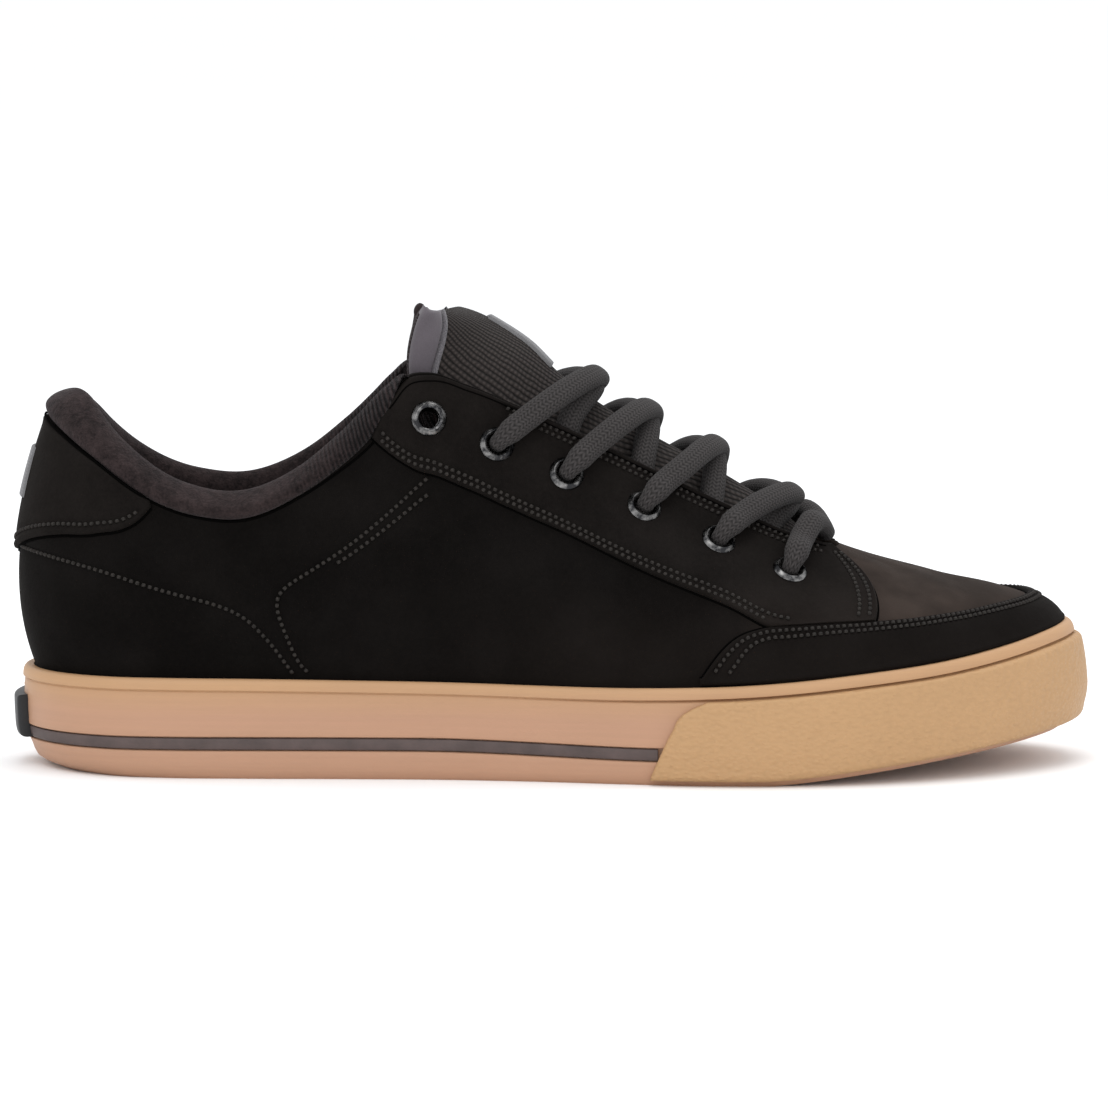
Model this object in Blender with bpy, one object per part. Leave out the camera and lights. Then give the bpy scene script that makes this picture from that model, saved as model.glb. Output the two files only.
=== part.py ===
"""Skateboarding shoe for the right foot, standing empty on its cup sole.

Metres, +Z up. +X is the toe, -Y the outer (lateral) side, and the origin lies on the floor
under the middle of the sole. Every curved piece is worked out round the shoe: a turn of 0 is
the middle of the heel and 1 the tip of the toe, along the lateral or along the medial side.
"""
import math
from collections import namedtuple

import bmesh
import bpy
import numpy as np
from mathutils import Vector

# Main sizes of the shoe
LENGTH = 0.300
BALL_WIDTH = 0.110
HEEL_WIDTH = 0.078
RIM_HEIGHT = 0.0278
TOE_SPRING = 0.0095
HEEL_HEIGHT = 0.0974
INSTEP_HEIGHT = 0.111
COLLAR_DIP = 0.0710
VAMP_HEIGHT = 0.061
COLLAR_WIDTH = 0.067
THROAT_WIDTH = 0.059

# Walls, layers and clearances
GAP = 0.0003
STAY_GAP = 0.0008
BUMPER_GAP = 0.0005
PAD_GAP = 0.0008
EYELET_SEAT = 0.0006
UPPER_WALL = 0.002
LAYER = 0.0013
RIM_THICK = 0.0022
RIM_BAND = 0.0035
RIM_GROOVE = 0.0006
RIM_LEAN = 0.0038
EDGE_TUCK = 0.0095
FLOOR_AT_HEEL = 0.0150
FLOOR_AT_BALL = 0.0090
INSOLE_THICK = 0.0045
INSOLE_EDGE = 0.004
INSOLE_EDGE_RISE = 0.001
BUMPER_THICK = 0.0017
STRIPE_WIDTH = 0.0032
STRIPE_PLACE = 0.0098
STRIPE_DEPTH = 0.0012
GROOVE_WIDTH = 0.0022
GROOVE_DEPTH = 0.0018

# Soft parts and fastening
PAD_RISE = 0.0100
PAD_THICK = 0.0105
LINING_DEPTH = 0.030
LINING_THICK = 0.0045
TONGUE_THICK = 0.0085
LABEL_THICK = 0.0009
EYELET_FLANGE = 0.0097
EYELET_BORE = 0.0054
EYELET_THICK = 0.0010
EYELET_SETBACK = 0.0163
LACE_WIDTH = 0.0065
LACE_LIFT = 0.0006
LACE_STACK = 0.0024
BAR_LIFT = 0.0013
TAB_THICK = 0.0024
TAB_LOW = 0.0081
TAB_HIGH = 0.0200
PATCH_THICK = 0.0009

# Spans of the small pieces: half turns round the heel, shares of the wall's profile, and shares
# of the tongue's length and half width
HEEL_TAB_TURN = 0.017
PATCH_TURN = 0.028
PATCH_RISES = (0.66, 0.76, 0.86)
LABEL_UP = (0.66, 0.86)
LABEL_ACROSS = 0.17
TONGUE_CORNER = 0.018

# The spring of the toe starts at this share of the length, and is whole at the second
SPRING_FROM = 0.69
SPRING_TO = 0.97

# Plan of the sole at its widest, a row for each section from heel to toe. along is the share of
# the length from the back, heel is how far the row follows the heel's width and not the ball's,
# lateral and medial are half widths as shares of that width. lean and tuck are shares of
# RIM_LEAN and EDGE_TUCK: how far the rim and the bottom edge stand in from the widest line.
Section = namedtuple("Section", "turn along heel lateral medial lean tuck")
SOLE_PLAN = (
    Section(0.000, 0.0083, 1.0, 0.000, 0.000, 0.10, 1.00),
    Section(0.039, 0.0162, 1.0, 0.171, 0.167, 0.12, 0.96),
    Section(0.088, 0.0477, 1.0, 0.351, 0.346, 0.15, 0.80),
    Section(0.136, 0.0967, 1.0, 0.465, 0.459, 0.20, 0.52),
    Section(0.183, 0.1500, 1.0, 0.500, 0.491, 0.22, 0.36),
    Section(0.247, 0.2233, 1.0, 0.510, 0.494, 0.25, 0.28),
    Section(0.319, 0.3067, 0.8, 0.478, 0.441, 0.25, 0.27),
    Section(0.401, 0.4000, 0.6, 0.460, 0.399, 0.25, 0.27),
    Section(0.483, 0.4933, 0.4, 0.473, 0.389, 0.25, 0.27),
    Section(0.548, 0.5667, 0.2, 0.489, 0.401, 0.26, 0.27),
    Section(0.607, 0.6333, 0.0, 0.490, 0.418, 0.28, 0.27),
    Section(0.656, 0.6900, 0.0, 0.497, 0.453, 0.30, 0.28),
    Section(0.712, 0.7533, 0.0, 0.482, 0.473, 0.34, 0.30),
    Section(0.768, 0.8167, 0.0, 0.436, 0.465, 0.42, 0.34),
    Section(0.823, 0.8733, 0.0, 0.364, 0.432, 0.56, 0.42),
    Section(0.876, 0.9233, 0.0, 0.268, 0.373, 0.74, 0.50),
    Section(0.921, 0.9600, 0.0, 0.168, 0.300, 0.88, 0.58),
    Section(0.961, 0.9850, 0.0, 0.064, 0.205, 0.97, 0.63),
    Section(1.000, 0.9957, 0.0, -0.055, 0.055, 1.00, 0.65),
)

# Height of the rim along the shoe, as a share of RIM_HEIGHT
RimPoint = namedtuple("RimPoint", "along rim")
RIM_LINE = (
    RimPoint(0.00, 1.000),
    RimPoint(0.18, 0.996),
    RimPoint(0.38, 0.971),
    RimPoint(0.58, 0.953),
    RimPoint(0.68, 0.993),
    RimPoint(0.785, 1.090),
    RimPoint(0.870, 1.185),
    RimPoint(0.926, 1.280),
    RimPoint(0.974, 1.380),
    RimPoint(1.000, 1.430),
)

# How the lower edge of the sole's side rolls under: share of the tuck left at each height share
CurlPoint = namedtuple("CurlPoint", "height tuck")
EDGE_CURL = (
    CurlPoint(0.00, 1.00),
    CurlPoint(0.07, 0.48),
    CurlPoint(0.20, 0.22),
    CurlPoint(0.36, 0.04),
    CurlPoint(0.50, 0.00),
    CurlPoint(1.00, 0.00),
)

# Top edge of the upper, from the back of the heel along the collar, over the corner beside the
# tongue and down the throat to its base. along is a share of LENGTH. side is the half width, as a
# share of the width that "of" names, and rise a share of the height that "to" names.
TopPoint = namedtuple("TopPoint", "turn along side of rise to")
TOP_LINE = (
    TopPoint(0.000, 0.035, 0.000, COLLAR_WIDTH, 1.000, HEEL_HEIGHT),
    TopPoint(0.088, 0.050, 0.231, COLLAR_WIDTH, 0.960, HEEL_HEIGHT),
    TopPoint(0.136, 0.078, 0.351, COLLAR_WIDTH, 0.895, HEEL_HEIGHT),
    TopPoint(0.183, 0.120, 0.430, COLLAR_WIDTH, 1.098, COLLAR_DIP),
    TopPoint(0.247, 0.177, 0.481, COLLAR_WIDTH, 1.006, COLLAR_DIP),
    TopPoint(0.300, 0.227, 0.500, COLLAR_WIDTH, 1.006, COLLAR_DIP),
    TopPoint(0.345, 0.273, 0.501, COLLAR_WIDTH, 1.100, COLLAR_DIP),
    TopPoint(0.385, 0.310, 0.493, COLLAR_WIDTH, 1.240, COLLAR_DIP),
    TopPoint(0.415, 0.335, 0.478, COLLAR_WIDTH, 0.871, INSTEP_HEIGHT),
    TopPoint(0.435, 0.352, 0.463, COLLAR_WIDTH, 0.936, INSTEP_HEIGHT),
    TopPoint(0.450, 0.367, 0.500, THROAT_WIDTH, 0.988, INSTEP_HEIGHT),
    TopPoint(0.465, 0.388, 0.475, THROAT_WIDTH, 0.996, INSTEP_HEIGHT),
    TopPoint(0.490, 0.420, 0.446, THROAT_WIDTH, 0.968, INSTEP_HEIGHT),
    TopPoint(0.540, 0.468, 0.420, THROAT_WIDTH, 0.914, INSTEP_HEIGHT),
    TopPoint(0.600, 0.540, 0.395, THROAT_WIDTH, 0.824, INSTEP_HEIGHT),
    TopPoint(0.655, 0.607, 0.365, THROAT_WIDTH, 0.734, INSTEP_HEIGHT),
    TopPoint(0.705, 0.667, 0.330, THROAT_WIDTH, 0.653, INSTEP_HEIGHT),
    TopPoint(0.750, 0.710, 0.295, THROAT_WIDTH, 1.082, VAMP_HEIGHT),
    TopPoint(0.800, 0.740, 0.250, THROAT_WIDTH, 1.025, VAMP_HEIGHT),
    TopPoint(0.870, 0.758, 0.170, THROAT_WIDTH, 1.005, VAMP_HEIGHT),
    TopPoint(0.940, 0.765, 0.080, THROAT_WIDTH, 1.000, VAMP_HEIGHT),
    TopPoint(1.000, 0.767, 0.000, THROAT_WIDTH, 1.000, VAMP_HEIGHT),
)

# Shape of the upper between rim and top edge. The wall leaves the rim towards a point that
# stands bulge out from it (a share of BALL_WIDTH) and lift up (a share of the wall's height). It
# reaches the top edge from a point reach outwards (a share of BALL_WIDTH) and drop below it.
Profile = namedtuple("Profile", "turn bulge lift reach drop")
PROFILES = (
    Profile(0.000, 0.080, 0.33, 0.070, 0.31),
    Profile(0.100, 0.060, 0.33, 0.061, 0.31),
    Profile(0.183, 0.040, 0.33, 0.052, 0.30),
    Profile(0.260, 0.030, 0.35, 0.042, 0.33),
    Profile(0.345, 0.026, 0.36, 0.045, 0.35),
    Profile(0.420, 0.030, 0.33, 0.062, 0.33),
    Profile(0.490, 0.032, 0.30, 0.085, 0.32),
    Profile(0.600, 0.023, 0.33, 0.100, 0.36),
    Profile(0.705, 0.016, 0.38, 0.118, 0.42),
    Profile(0.800, 0.004, 0.40, 0.165, 0.38),
    Profile(0.900, -0.010, 0.44, 0.225, 0.42),
    Profile(1.000, -0.026, 0.49, 0.255, 0.49),
)
FAN = 0.010

# Overlays stop at this share of the profile, just under the top edge
EDGE_RISE = 0.992

# Padded roll round the ankle: its height and thickness as shares of PAD_RISE and PAD_THICK,
# and the depth of the lining inside as a share of LINING_DEPTH
PadRow = namedtuple("PadRow", "turn rise medial_rise thick depth")
PAD_ROWS = (
    PadRow(0.000, 0.88, 0.88, 1.00, 1.00),
    PadRow(0.050, 1.02, 0.96, 0.99, 1.00),
    PadRow(0.100, 1.42, 1.10, 0.98, 1.00),
    PadRow(0.140, 1.60, 1.16, 0.96, 0.97),
    PadRow(0.190, 1.34, 1.08, 0.88, 0.91),
    PadRow(0.240, 1.02, 0.98, 0.84, 0.85),
    PadRow(0.300, 0.84, 0.88, 0.80, 0.80),
    PadRow(0.385, 0.70, 0.66, 0.76, 0.85),
    PadRow(0.430, 0.48, 0.40, 0.62, 0.90),
    PadRow(0.446, 0.22, 0.20, 0.52, 0.90),
)

# Tongue, a row from its sewn end under the vamp to its top. crest and side are the middle and
# the lateral edge of its face: along as a share of LENGTH, height as a share of INSTEP_HEIGHT,
# half as a share of THROAT_WIDTH. wrap is 0 where it lies as a ridge, 1 where it wraps the leg.
TongueRow = namedtuple("TongueRow", "crest_along crest_height side_along side_height half wrap thick")
TONGUE_ROWS = (
    TongueRow(0.815, 0.468, 0.815, 0.442, 0.290, 0.0, 0.35),
    TongueRow(0.775, 0.508, 0.775, 0.450, 0.330, 0.0, 0.45),
    TongueRow(0.745, 0.560, 0.745, 0.450, 0.380, 0.0, 0.60),
    TongueRow(0.706, 0.645, 0.700, 0.430, 0.440, 0.0, 0.75),
    TongueRow(0.658, 0.728, 0.645, 0.490, 0.470, 0.0, 0.90),
    TongueRow(0.595, 0.820, 0.575, 0.585, 0.480, 0.1, 1.00),
    TongueRow(0.543, 0.905, 0.510, 0.670, 0.470, 0.2, 1.00),
    TongueRow(0.507, 0.978, 0.450, 0.765, 0.450, 0.4, 1.00),
    TongueRow(0.479, 1.052, 0.405, 0.865, 0.435, 0.6, 1.00),
    TongueRow(0.451, 1.103, 0.378, 0.975, 0.430, 0.8, 1.00),
    TongueRow(0.430, 1.132, 0.371, 1.075, 0.470, 0.9, 1.00),
    TongueRow(0.408, 1.146, 0.372, 1.140, 0.500, 0.9, 0.90),
)

# Eyestay: each row joins a place on its lower edge to a place on the throat's edge. Both are
# turns, and low_rise is the share of the wall's profile at the lower edge.
StayRow = namedtuple("StayRow", "low_turn low_rise top_turn")
STAY_ROWS = (
    StayRow(0.426, 0.830, 0.432),
    StayRow(0.446, 0.725, 0.445),
    StayRow(0.495, 0.620, 0.480),
    StayRow(0.550, 0.545, 0.540),
    StayRow(0.603, 0.472, 0.610),
    StayRow(0.647, 0.385, 0.680),
    StayRow(0.695, 0.340, 0.755),
    StayRow(0.760, 0.372, 0.850),
)

# Upper edge of the toe overlay and lower edge of the heel overlay, as shares of the profile
EdgePoint = namedtuple("EdgePoint", "turn rise")
TOE_EDGE = (
    EdgePoint(0.606, 0.02),
    EdgePoint(0.621, 0.12),
    EdgePoint(0.640, 0.21),
    EdgePoint(0.664, 0.27),
    EdgePoint(0.700, 0.305),
    EdgePoint(0.750, 0.338),
    EdgePoint(0.811, 0.352),
    EdgePoint(0.884, 0.340),
    EdgePoint(0.950, 0.312),
    EdgePoint(1.000, 0.300),
)
HEEL_EDGE = (
    EdgePoint(0.000, 0.43),
    EdgePoint(0.060, 0.51),
    EdgePoint(0.120, 0.59),
    EdgePoint(0.170, 0.73),
    EdgePoint(0.205, 0.90),
)

# Rear edge of the toe bumper: along as a share of LENGTH at each height share of the wall
BumperPoint = namedtuple("BumperPoint", "height along")
BUMPER_REAR = (
    BumperPoint(0.07, 0.588),
    BumperPoint(0.30, 0.597),
    BumperPoint(0.55, 0.608),
    BumperPoint(0.74, 0.620),
    BumperPoint(0.84, 0.640),
)

# The six eyelets of a side, from the top: the turn of each at the throat's edge, and how far it
# lies below that edge, as a share of EYELET_SETBACK
EyeletRow = namedtuple("EyeletRow", "turn setback")
EYELETS = (
    EyeletRow(0.456, 0.80),
    EyeletRow(0.502, 1.02),
    EyeletRow(0.562, 1.08),
    EyeletRow(0.619, 1.07),
    EyeletRow(0.672, 1.13),
    EyeletRow(0.722, 1.30),
)
FIRST_LACED = 1

# Where the lace passes over the tongue's ridge, as shares of LENGTH: four crossings and the bar
LACE_CRESTS = (0.531, 0.582, 0.644, 0.712, 0.745)

# Finishes: colour, roughness, metallic
NUBUCK = ("nubuck", (0.012, 0.011, 0.010), 0.85, 0.0)
TEXTILE = ("textile", (0.020, 0.018, 0.018), 0.9, 0.0)
MESH = ("tongue_mesh", (0.018, 0.016, 0.015), 0.85, 0.0)
CORD = ("lace_cord", (0.022, 0.020, 0.019), 0.9, 0.0)
GUM = ("gum_rubber", (0.58, 0.35, 0.21), 0.55, 0.0)
BUMPER_GUM = ("bumper_rubber", (0.73, 0.47, 0.22), 0.6, 0.0)
DARK_RUBBER = ("dark_rubber", (0.03, 0.03, 0.032), 0.6, 0.0)
STRIPE_INK = ("stripe_rubber", (0.115, 0.098, 0.107), 0.55, 0.0)
GUNMETAL = ("gunmetal", (0.10, 0.10, 0.10), 0.35, 1.0)
FOOTBED = ("footbed", (0.03, 0.03, 0.03), 0.9, 0.0)
PATCH = ("patch_grey", (0.33, 0.33, 0.33), 0.6, 0.0)

X = np.array((1.0, 0.0, 0.0))
Z = np.array((0.0, 0.0, 1.0))


def column(rows, name):
    """One named column of a table, as an array."""
    return np.array([getattr(row, name) for row in rows], float)


def spline(keys, values, at):
    """Smooth curve through values at keys, each slope weighed from both neighbours."""
    keys = np.asarray(keys, float)
    values = np.asarray(values, float).reshape(len(keys), -1)
    at = np.asarray(at, float)
    step = np.diff(keys)[:, None]
    rate = np.diff(values, axis=0) / step
    slope = np.empty_like(values)
    slope[1:-1] = (step[1:] * rate[:-1] + step[:-1] * rate[1:]) / (step[:-1] + step[1:])
    slope[0] = 2 * rate[0] - slope[1]
    slope[-1] = 2 * rate[-1] - slope[-2]
    place = np.clip(at.ravel(), keys[0], keys[-1])
    low = np.clip(np.searchsorted(keys, place, side="right") - 1, 0, len(keys) - 2)
    width = step[low]
    f = (place[:, None] - keys[low][:, None]) / width
    a, b = values[low], values[low + 1]
    curve = (
        (1 + 2 * f) * (1 - f) ** 2 * a
        + f * (1 - f) ** 2 * width * slope[low]
        + f * f * (3 - 2 * f) * b
        + f * f * (f - 1) * width * slope[low + 1]
    )
    return curve.reshape(at.shape + (values.shape[1],))


def round_the_shoe(turns, lateral, medial, at):
    """Smooth closed curve at places 0 to 1 round the shoe: heel 0, toe 0.5, back along the medial."""
    keys = np.concatenate((turns / 2, 1 - turns[-2:0:-1] / 2))
    values = np.concatenate((lateral, medial[-2:0:-1]))
    back, front = slice(-4, None), slice(0, 4)
    keys = np.concatenate((keys[back] - 1, keys, keys[front] + 1))
    values = np.concatenate((values[back], values, values[front]))
    return spline(keys, values, np.mod(at, 1.0))


def unit(vectors):
    return vectors / np.maximum(np.linalg.norm(vectors, axis=-1, keepdims=True), 1e-12)


def soft_step(low, high, value):
    f = np.clip((value - low) / (high - low), 0, 1)
    return f * f * (3 - 2 * f)


def to_x(along):
    return (along - 0.5) * LENGTH


def to_along(x):
    return x / LENGTH + 0.5


def outline(at):
    """Widest line of the sole in plan, and its outward direction, at places round the shoe."""
    width = HEEL_WIDTH * column(SOLE_PLAN, "heel") + BALL_WIDTH * (1 - column(SOLE_PLAN, "heel"))
    x = to_x(column(SOLE_PLAN, "along"))
    lateral = np.stack((x, -column(SOLE_PLAN, "lateral") * width), 1)
    medial = np.stack((x, column(SOLE_PLAN, "medial") * width), 1)
    turns = column(SOLE_PLAN, "turn")
    at = np.asarray(at, float)
    step = 0.002
    point = round_the_shoe(turns, lateral, medial, at)
    run = round_the_shoe(turns, lateral, medial, at + step) - round_the_shoe(turns, lateral, medial, at - step)
    out = unit(np.stack((run[..., 1], -run[..., 0]), -1))
    return point, out


def plan_share(name, at):
    """A column of the sole's plan round the shoe."""
    values = column(SOLE_PLAN, name)[:, None]
    return round_the_shoe(column(SOLE_PLAN, "turn"), values, values, at)[..., 0]


def bottom_height(x):
    """Height of the tread: flat from the heel to the ball, then the toe's spring."""
    r = np.clip((to_along(x) - SPRING_FROM) / (SPRING_TO - SPRING_FROM), 0, None)
    return TOE_SPRING * 1.12 * r * r / (r + 0.12)


def rim_height(x):
    return RIM_HEIGHT * spline(column(RIM_LINE, "along"), column(RIM_LINE, "rim"), to_along(x))[..., 0]


def floor_height(x):
    """Height of the cup's inner floor."""
    ball = soft_step(0.25, 0.60, to_along(x))
    return bottom_height(x) + FLOOR_AT_HEEL * (1 - ball) + FLOOR_AT_BALL * ball


def stripe_height(x):
    return STRIPE_PLACE * (1 - 0.14 * soft_step(0.38, 0.60, to_along(x)))


def wall_inset(at, share):
    """How far the sole's side stands in from its widest line, at a share of its height."""
    curl = spline(column(EDGE_CURL, "height"), column(EDGE_CURL, "tuck"), share)[..., 0]
    return plan_share("lean", at) * RIM_LEAN * share**2 + plan_share("tuck", at) * EDGE_TUCK * curl


def wall_point(at, share, out=0.0):
    """Point on the sole's side, moved outwards by out."""
    at, share, out = np.broadcast_arrays(at, share, out)
    plan, normal = outline(at)
    low = bottom_height(plan[..., 0])
    z = low + share * (rim_height(plan[..., 0]) - low)
    flat = plan + normal * (out - wall_inset(at, share))[..., None]
    return np.concatenate((flat, z[..., None]), -1)


def wall_share(at, height):
    """Share of the side's height at which it has the given height."""
    x = outline(at)[0][..., 0]
    return (height - bottom_height(x)) / (rim_height(x) - bottom_height(x))


def cup_inset(at, more=0.0):
    """Plan point inside the rim: the rim's thickness in from its outer face, and more."""
    plan, normal = outline(at)
    inset = plan_share("lean", at) * RIM_LEAN + RIM_THICK + more
    return plan - normal * inset[..., None], normal


def top_edge(at):
    """Top edge of the upper's outer face round the shoe."""
    x = to_x(column(TOP_LINE, "along"))
    y = column(TOP_LINE, "side") * column(TOP_LINE, "of")
    z = column(TOP_LINE, "rise") * column(TOP_LINE, "to")
    return round_the_shoe(column(TOP_LINE, "turn"), np.stack((x, -y, z), 1), np.stack((x, y, z), 1), at)


def upper_point(at, rise):
    """Outer face of the upper: place round the shoe, and share of the profile from rim to top."""
    at, rise = np.broadcast_arrays(np.asarray(at, float), np.asarray(rise, float))
    plan, normal = cup_inset(at, GAP)
    foot = np.concatenate((plan, (rim_height(plan[..., 0]) + GAP)[..., None]), -1)
    normal = np.concatenate((normal, np.zeros_like(normal[..., :1])), -1)
    top = top_edge(at)
    shape = np.stack([column(PROFILES, name) for name in ("bulge", "lift", "reach", "drop")], 1)
    shape = round_the_shoe(column(PROFILES, "turn"), shape, shape, at)
    bulge, lift, reach, drop = (shape[..., i : i + 1] for i in range(4))
    height = (top - foot)[..., 2:]
    level = (foot - top) * (1 - Z)
    away = unit(level + FAN * normal)
    first = foot + normal * bulge * BALL_WIDTH + Z * lift * height
    second = top + away * reach * BALL_WIDTH - Z * drop * height
    s = rise[..., None]
    return (1 - s) ** 3 * foot + 3 * s * (1 - s) ** 2 * first + 3 * s * s * (1 - s) * second + s**3 * top


def upper_normal(at, rise):
    """Outward direction of the upper's face."""
    step = 0.004
    along = upper_point(at + step, rise) - upper_point(at - step, rise)
    low, high = np.clip(rise - step, 0, 1), np.clip(rise + step, 0, 1)
    up = upper_point(at, high) - upper_point(at, low)
    return unit(np.cross(along, up))


def upper_layer(at, rise, out):
    """Point over the upper's face, out metres along its outward direction."""
    return upper_point(at, rise) + upper_normal(at, rise) * np.asarray(out)[..., None]


def side_place(turn, side):
    """Place round the shoe for a turn on the lateral (-1) or medial (+1) side."""
    return turn / 2 if side < 0 else 1 - np.asarray(turn) / 2


def places(*runs):
    """Places round the whole shoe from runs of turns, (first, last, count) each, on both sides."""
    turns = np.unique(np.round(np.concatenate([np.linspace(*run) for run in runs]), 6))
    return np.concatenate((turns / 2, 1 - turns[-2:0:-1] / 2))


PLACES = places((0, 0.225, 8), (0.27, 0.405, 4), (0.425, 0.485, 4), (0.525, 0.685, 6), (0.72, 1, 11))
UPPER_RISES = np.array((0, 0.13, 0.30, 0.48, 0.66, 0.83, 1.0))


def material(finish):
    """Principled material from a finish: name, colour, roughness, metallic."""
    name, colour, roughness, metallic = finish
    if name in bpy.data.materials:
        return bpy.data.materials[name]
    made = bpy.data.materials.new(name)
    made.use_nodes = True
    shader = made.node_tree.nodes["Principled BSDF"]
    shader.inputs["Base Color"].default_value = (*colour, 1)
    shader.inputs["Roughness"].default_value = roughness
    shader.inputs["Metallic"].default_value = metallic
    return made


def add_object(name, points, faces, finish, smooth_angle=40):
    """Mesh object from points and faces, with its faces turned outwards."""
    mesh = bpy.data.meshes.new(name)
    mesh.from_pydata([tuple(p) for p in points], [], [tuple(f) for f in faces])
    work = bmesh.new()
    work.from_mesh(mesh)
    bmesh.ops.recalc_face_normals(work, faces=work.faces)
    if work.calc_volume(signed=True) < 0:
        bmesh.ops.reverse_faces(work, faces=work.faces)
    work.to_mesh(mesh)
    work.free()
    mesh.shade_smooth()
    mesh.set_sharp_from_angle(angle=math.radians(smooth_angle))
    mesh.materials.append(material(finish))
    made = bpy.data.objects.new(name, mesh)
    bpy.context.scene.collection.objects.link(made)
    return made


def ring(name, sections, finish):
    """Closed ring: sections[i] is the closed cross-section at place i, and the last joins the first."""
    count, sides = sections.shape[:2]
    faces = []
    for i in range(count):
        for j in range(sides):
            here, there = i * sides, (i + 1) % count * sides
            faces.append((here + j, there + j, there + (j + 1) % sides, here + (j + 1) % sides))
    return add_object(name, sections.reshape(-1, 3), faces, finish)


def bar(name, sections, finish):
    """Solid along its sections, with a flat face at each end."""
    count, sides = sections.shape[:2]
    faces = [tuple(range(sides)), tuple((count - 1) * sides + j for j in reversed(range(sides)))]
    for i in range(count - 1):
        for j in range(sides):
            here, there = i * sides, (i + 1) * sides
            faces.append((here + j, there + j, there + (j + 1) % sides, here + (j + 1) % sides))
    return add_object(name, sections.reshape(-1, 3), faces, finish)


def sheet(name, outer, inner, finish):
    """Solid between two like grids of points, closed along its four edges."""
    rows, columns = outer.shape[:2]
    size = rows * columns
    faces = []
    for i in range(rows - 1):
        for j in range(columns - 1):
            a, b = i * columns + j, (i + 1) * columns + j
            faces.append((a, b, b + 1, a + 1))
            faces.append((size + a, size + a + 1, size + b + 1, size + b))
    edge = list(range(columns))
    edge += [i * columns + columns - 1 for i in range(1, rows)]
    edge += [(rows - 1) * columns + j for j in range(columns - 2, -1, -1)]
    edge += [i * columns for i in range(rows - 2, 0, -1)]
    for a, b in zip(edge, edge[1:] + edge[:1]):
        faces.append((a, b, size + b, size + a))
    return add_object(name, np.concatenate((outer.reshape(-1, 3), inner.reshape(-1, 3))), faces, finish)


def cut(target, cutter, operation="DIFFERENCE"):
    """Boolean of target with cutter, which is hidden and only drawn as wire."""
    cutter.hide_render = True
    cutter.display_type = "WIRE"
    change = target.modifiers.new("cut", "BOOLEAN")
    change.operation = operation
    change.solver = "EXACT"
    change.object = cutter


def prism(corners, low, high):
    """Upright prism over a plan outline, from low to high at each of its corners."""
    count = len(corners)
    bottom = [(x, y, z) for (x, y), z in zip(corners, low)]
    top = [(x, y, z) for (x, y), z in zip(corners, high)]
    faces = [tuple(reversed(range(count))), tuple(range(count, 2 * count))]
    for j in range(count):
        k = (j + 1) % count
        faces.append((j, k, count + k, count + j))
    return bottom + top, faces


def join_parts(name, parts, finish):
    """One object from several separate closed shapes, for cutting."""
    points, faces = [], []
    for part_points, part_faces in parts:
        faces += [tuple(i + len(points) for i in face) for face in part_faces]
        points += part_points
    return add_object(name, points, faces, finish)


def make_outsole():
    """Gum cup sole: tread, rolled lower edge, side with the stripe's channel, rim and inner floor."""
    at = PLACES
    plan = outline(at)[0]
    x = plan[:, 0]
    rim = rim_height(x)
    channel = (STRIPE_WIDTH / 2 + GAP) * np.array((-1, -1, 1, 1))
    turn = np.minimum(at, 1 - at) * 2
    deep = (STRIPE_DEPTH + GAP) * (1 - soft_step(0.62, 0.68, turn))
    rows = [wall_point(at, 0.0), wall_point(at, 0.07), wall_point(at, 0.2)]
    for offset, depth in zip(channel, (0, 1, 1, 0)):
        share = wall_share(at, stripe_height(x) + bottom_height(x) + offset)
        rows.append(wall_point(at, share, -deep * depth))
    band = wall_share(at, rim - RIM_BAND)
    lip = wall_share(at, rim - RIM_BAND + 0.8 * RIM_GROOVE)
    rows.append(wall_point(at, band, 0))
    rows.append(wall_point(at, lip, RIM_GROOVE))
    rows.append(wall_point(at, 1.0, 0))
    inner = cup_inset(at)[0]
    rows.append(np.concatenate((inner, (rim - GAP)[:, None]), 1))
    rows.append(np.concatenate((inner, floor_height(x)[:, None]), 1))
    sections = np.stack(rows, 1)
    count, sides = sections.shape[:2]
    faces = []
    for i in range(count):
        for j in range(sides - 1):
            here, there = i * sides, (i + 1) % count * sides
            faces.append((here + j, there + j, there + j + 1, here + j + 1))
    for level in (0, sides - 1):
        faces += ladder(count, lambda i: i * sides + level)
    made = add_object("outsole", sections.reshape(-1, 3), faces, GUM)
    cut(made, make_tread_grooves())
    return made


def ladder(count, index):
    """Faces across the shoe between the places that face each other, heel and toe closed by three."""
    half = count // 2
    faces = [(index(0), index(1), index(count - 1))]
    for i in range(1, half - 1):
        faces.append((index(i), index(i + 1), index(count - i - 1), index(count - i)))
    faces.append((index(half - 1), index(half), index(half + 1)))
    return faces


def half_width(x, side):
    """Half width of the sole at x on one side."""
    width = HEEL_WIDTH * column(SOLE_PLAN, "heel") + BALL_WIDTH * (1 - column(SOLE_PLAN, "heel"))
    name = "lateral" if side < 0 else "medial"
    return float(spline(to_x(column(SOLE_PLAN, "along")), column(SOLE_PLAN, name) * width, x)[..., 0])


def make_tread_grooves():
    """Chevron grooves of the tread, under the heel and under the ball, cut up from below."""
    margin = 0.016
    below = 0.004
    sweep = 0.010
    parts = []
    for first, last, count in ((0.12, 0.34, 5), (0.60, 0.90, 7)):
        for along in np.linspace(first, last, count):
            x = to_x(along)
            left = -(half_width(x, -1) - margin)
            right = half_width(x, 1) - margin
            chevron = [(x, left), (x + sweep, 0), (x, right)]
            corners = chevron + [(cx + GROOVE_WIDTH, cy) for cx, cy in reversed(chevron)]
            high = [float(bottom_height(cx)) + GROOVE_DEPTH for cx, _ in corners]
            parts.append(prism(corners, [-below] * len(corners), high))
    return join_parts("groove_cutter", parts, GUM)


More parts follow.
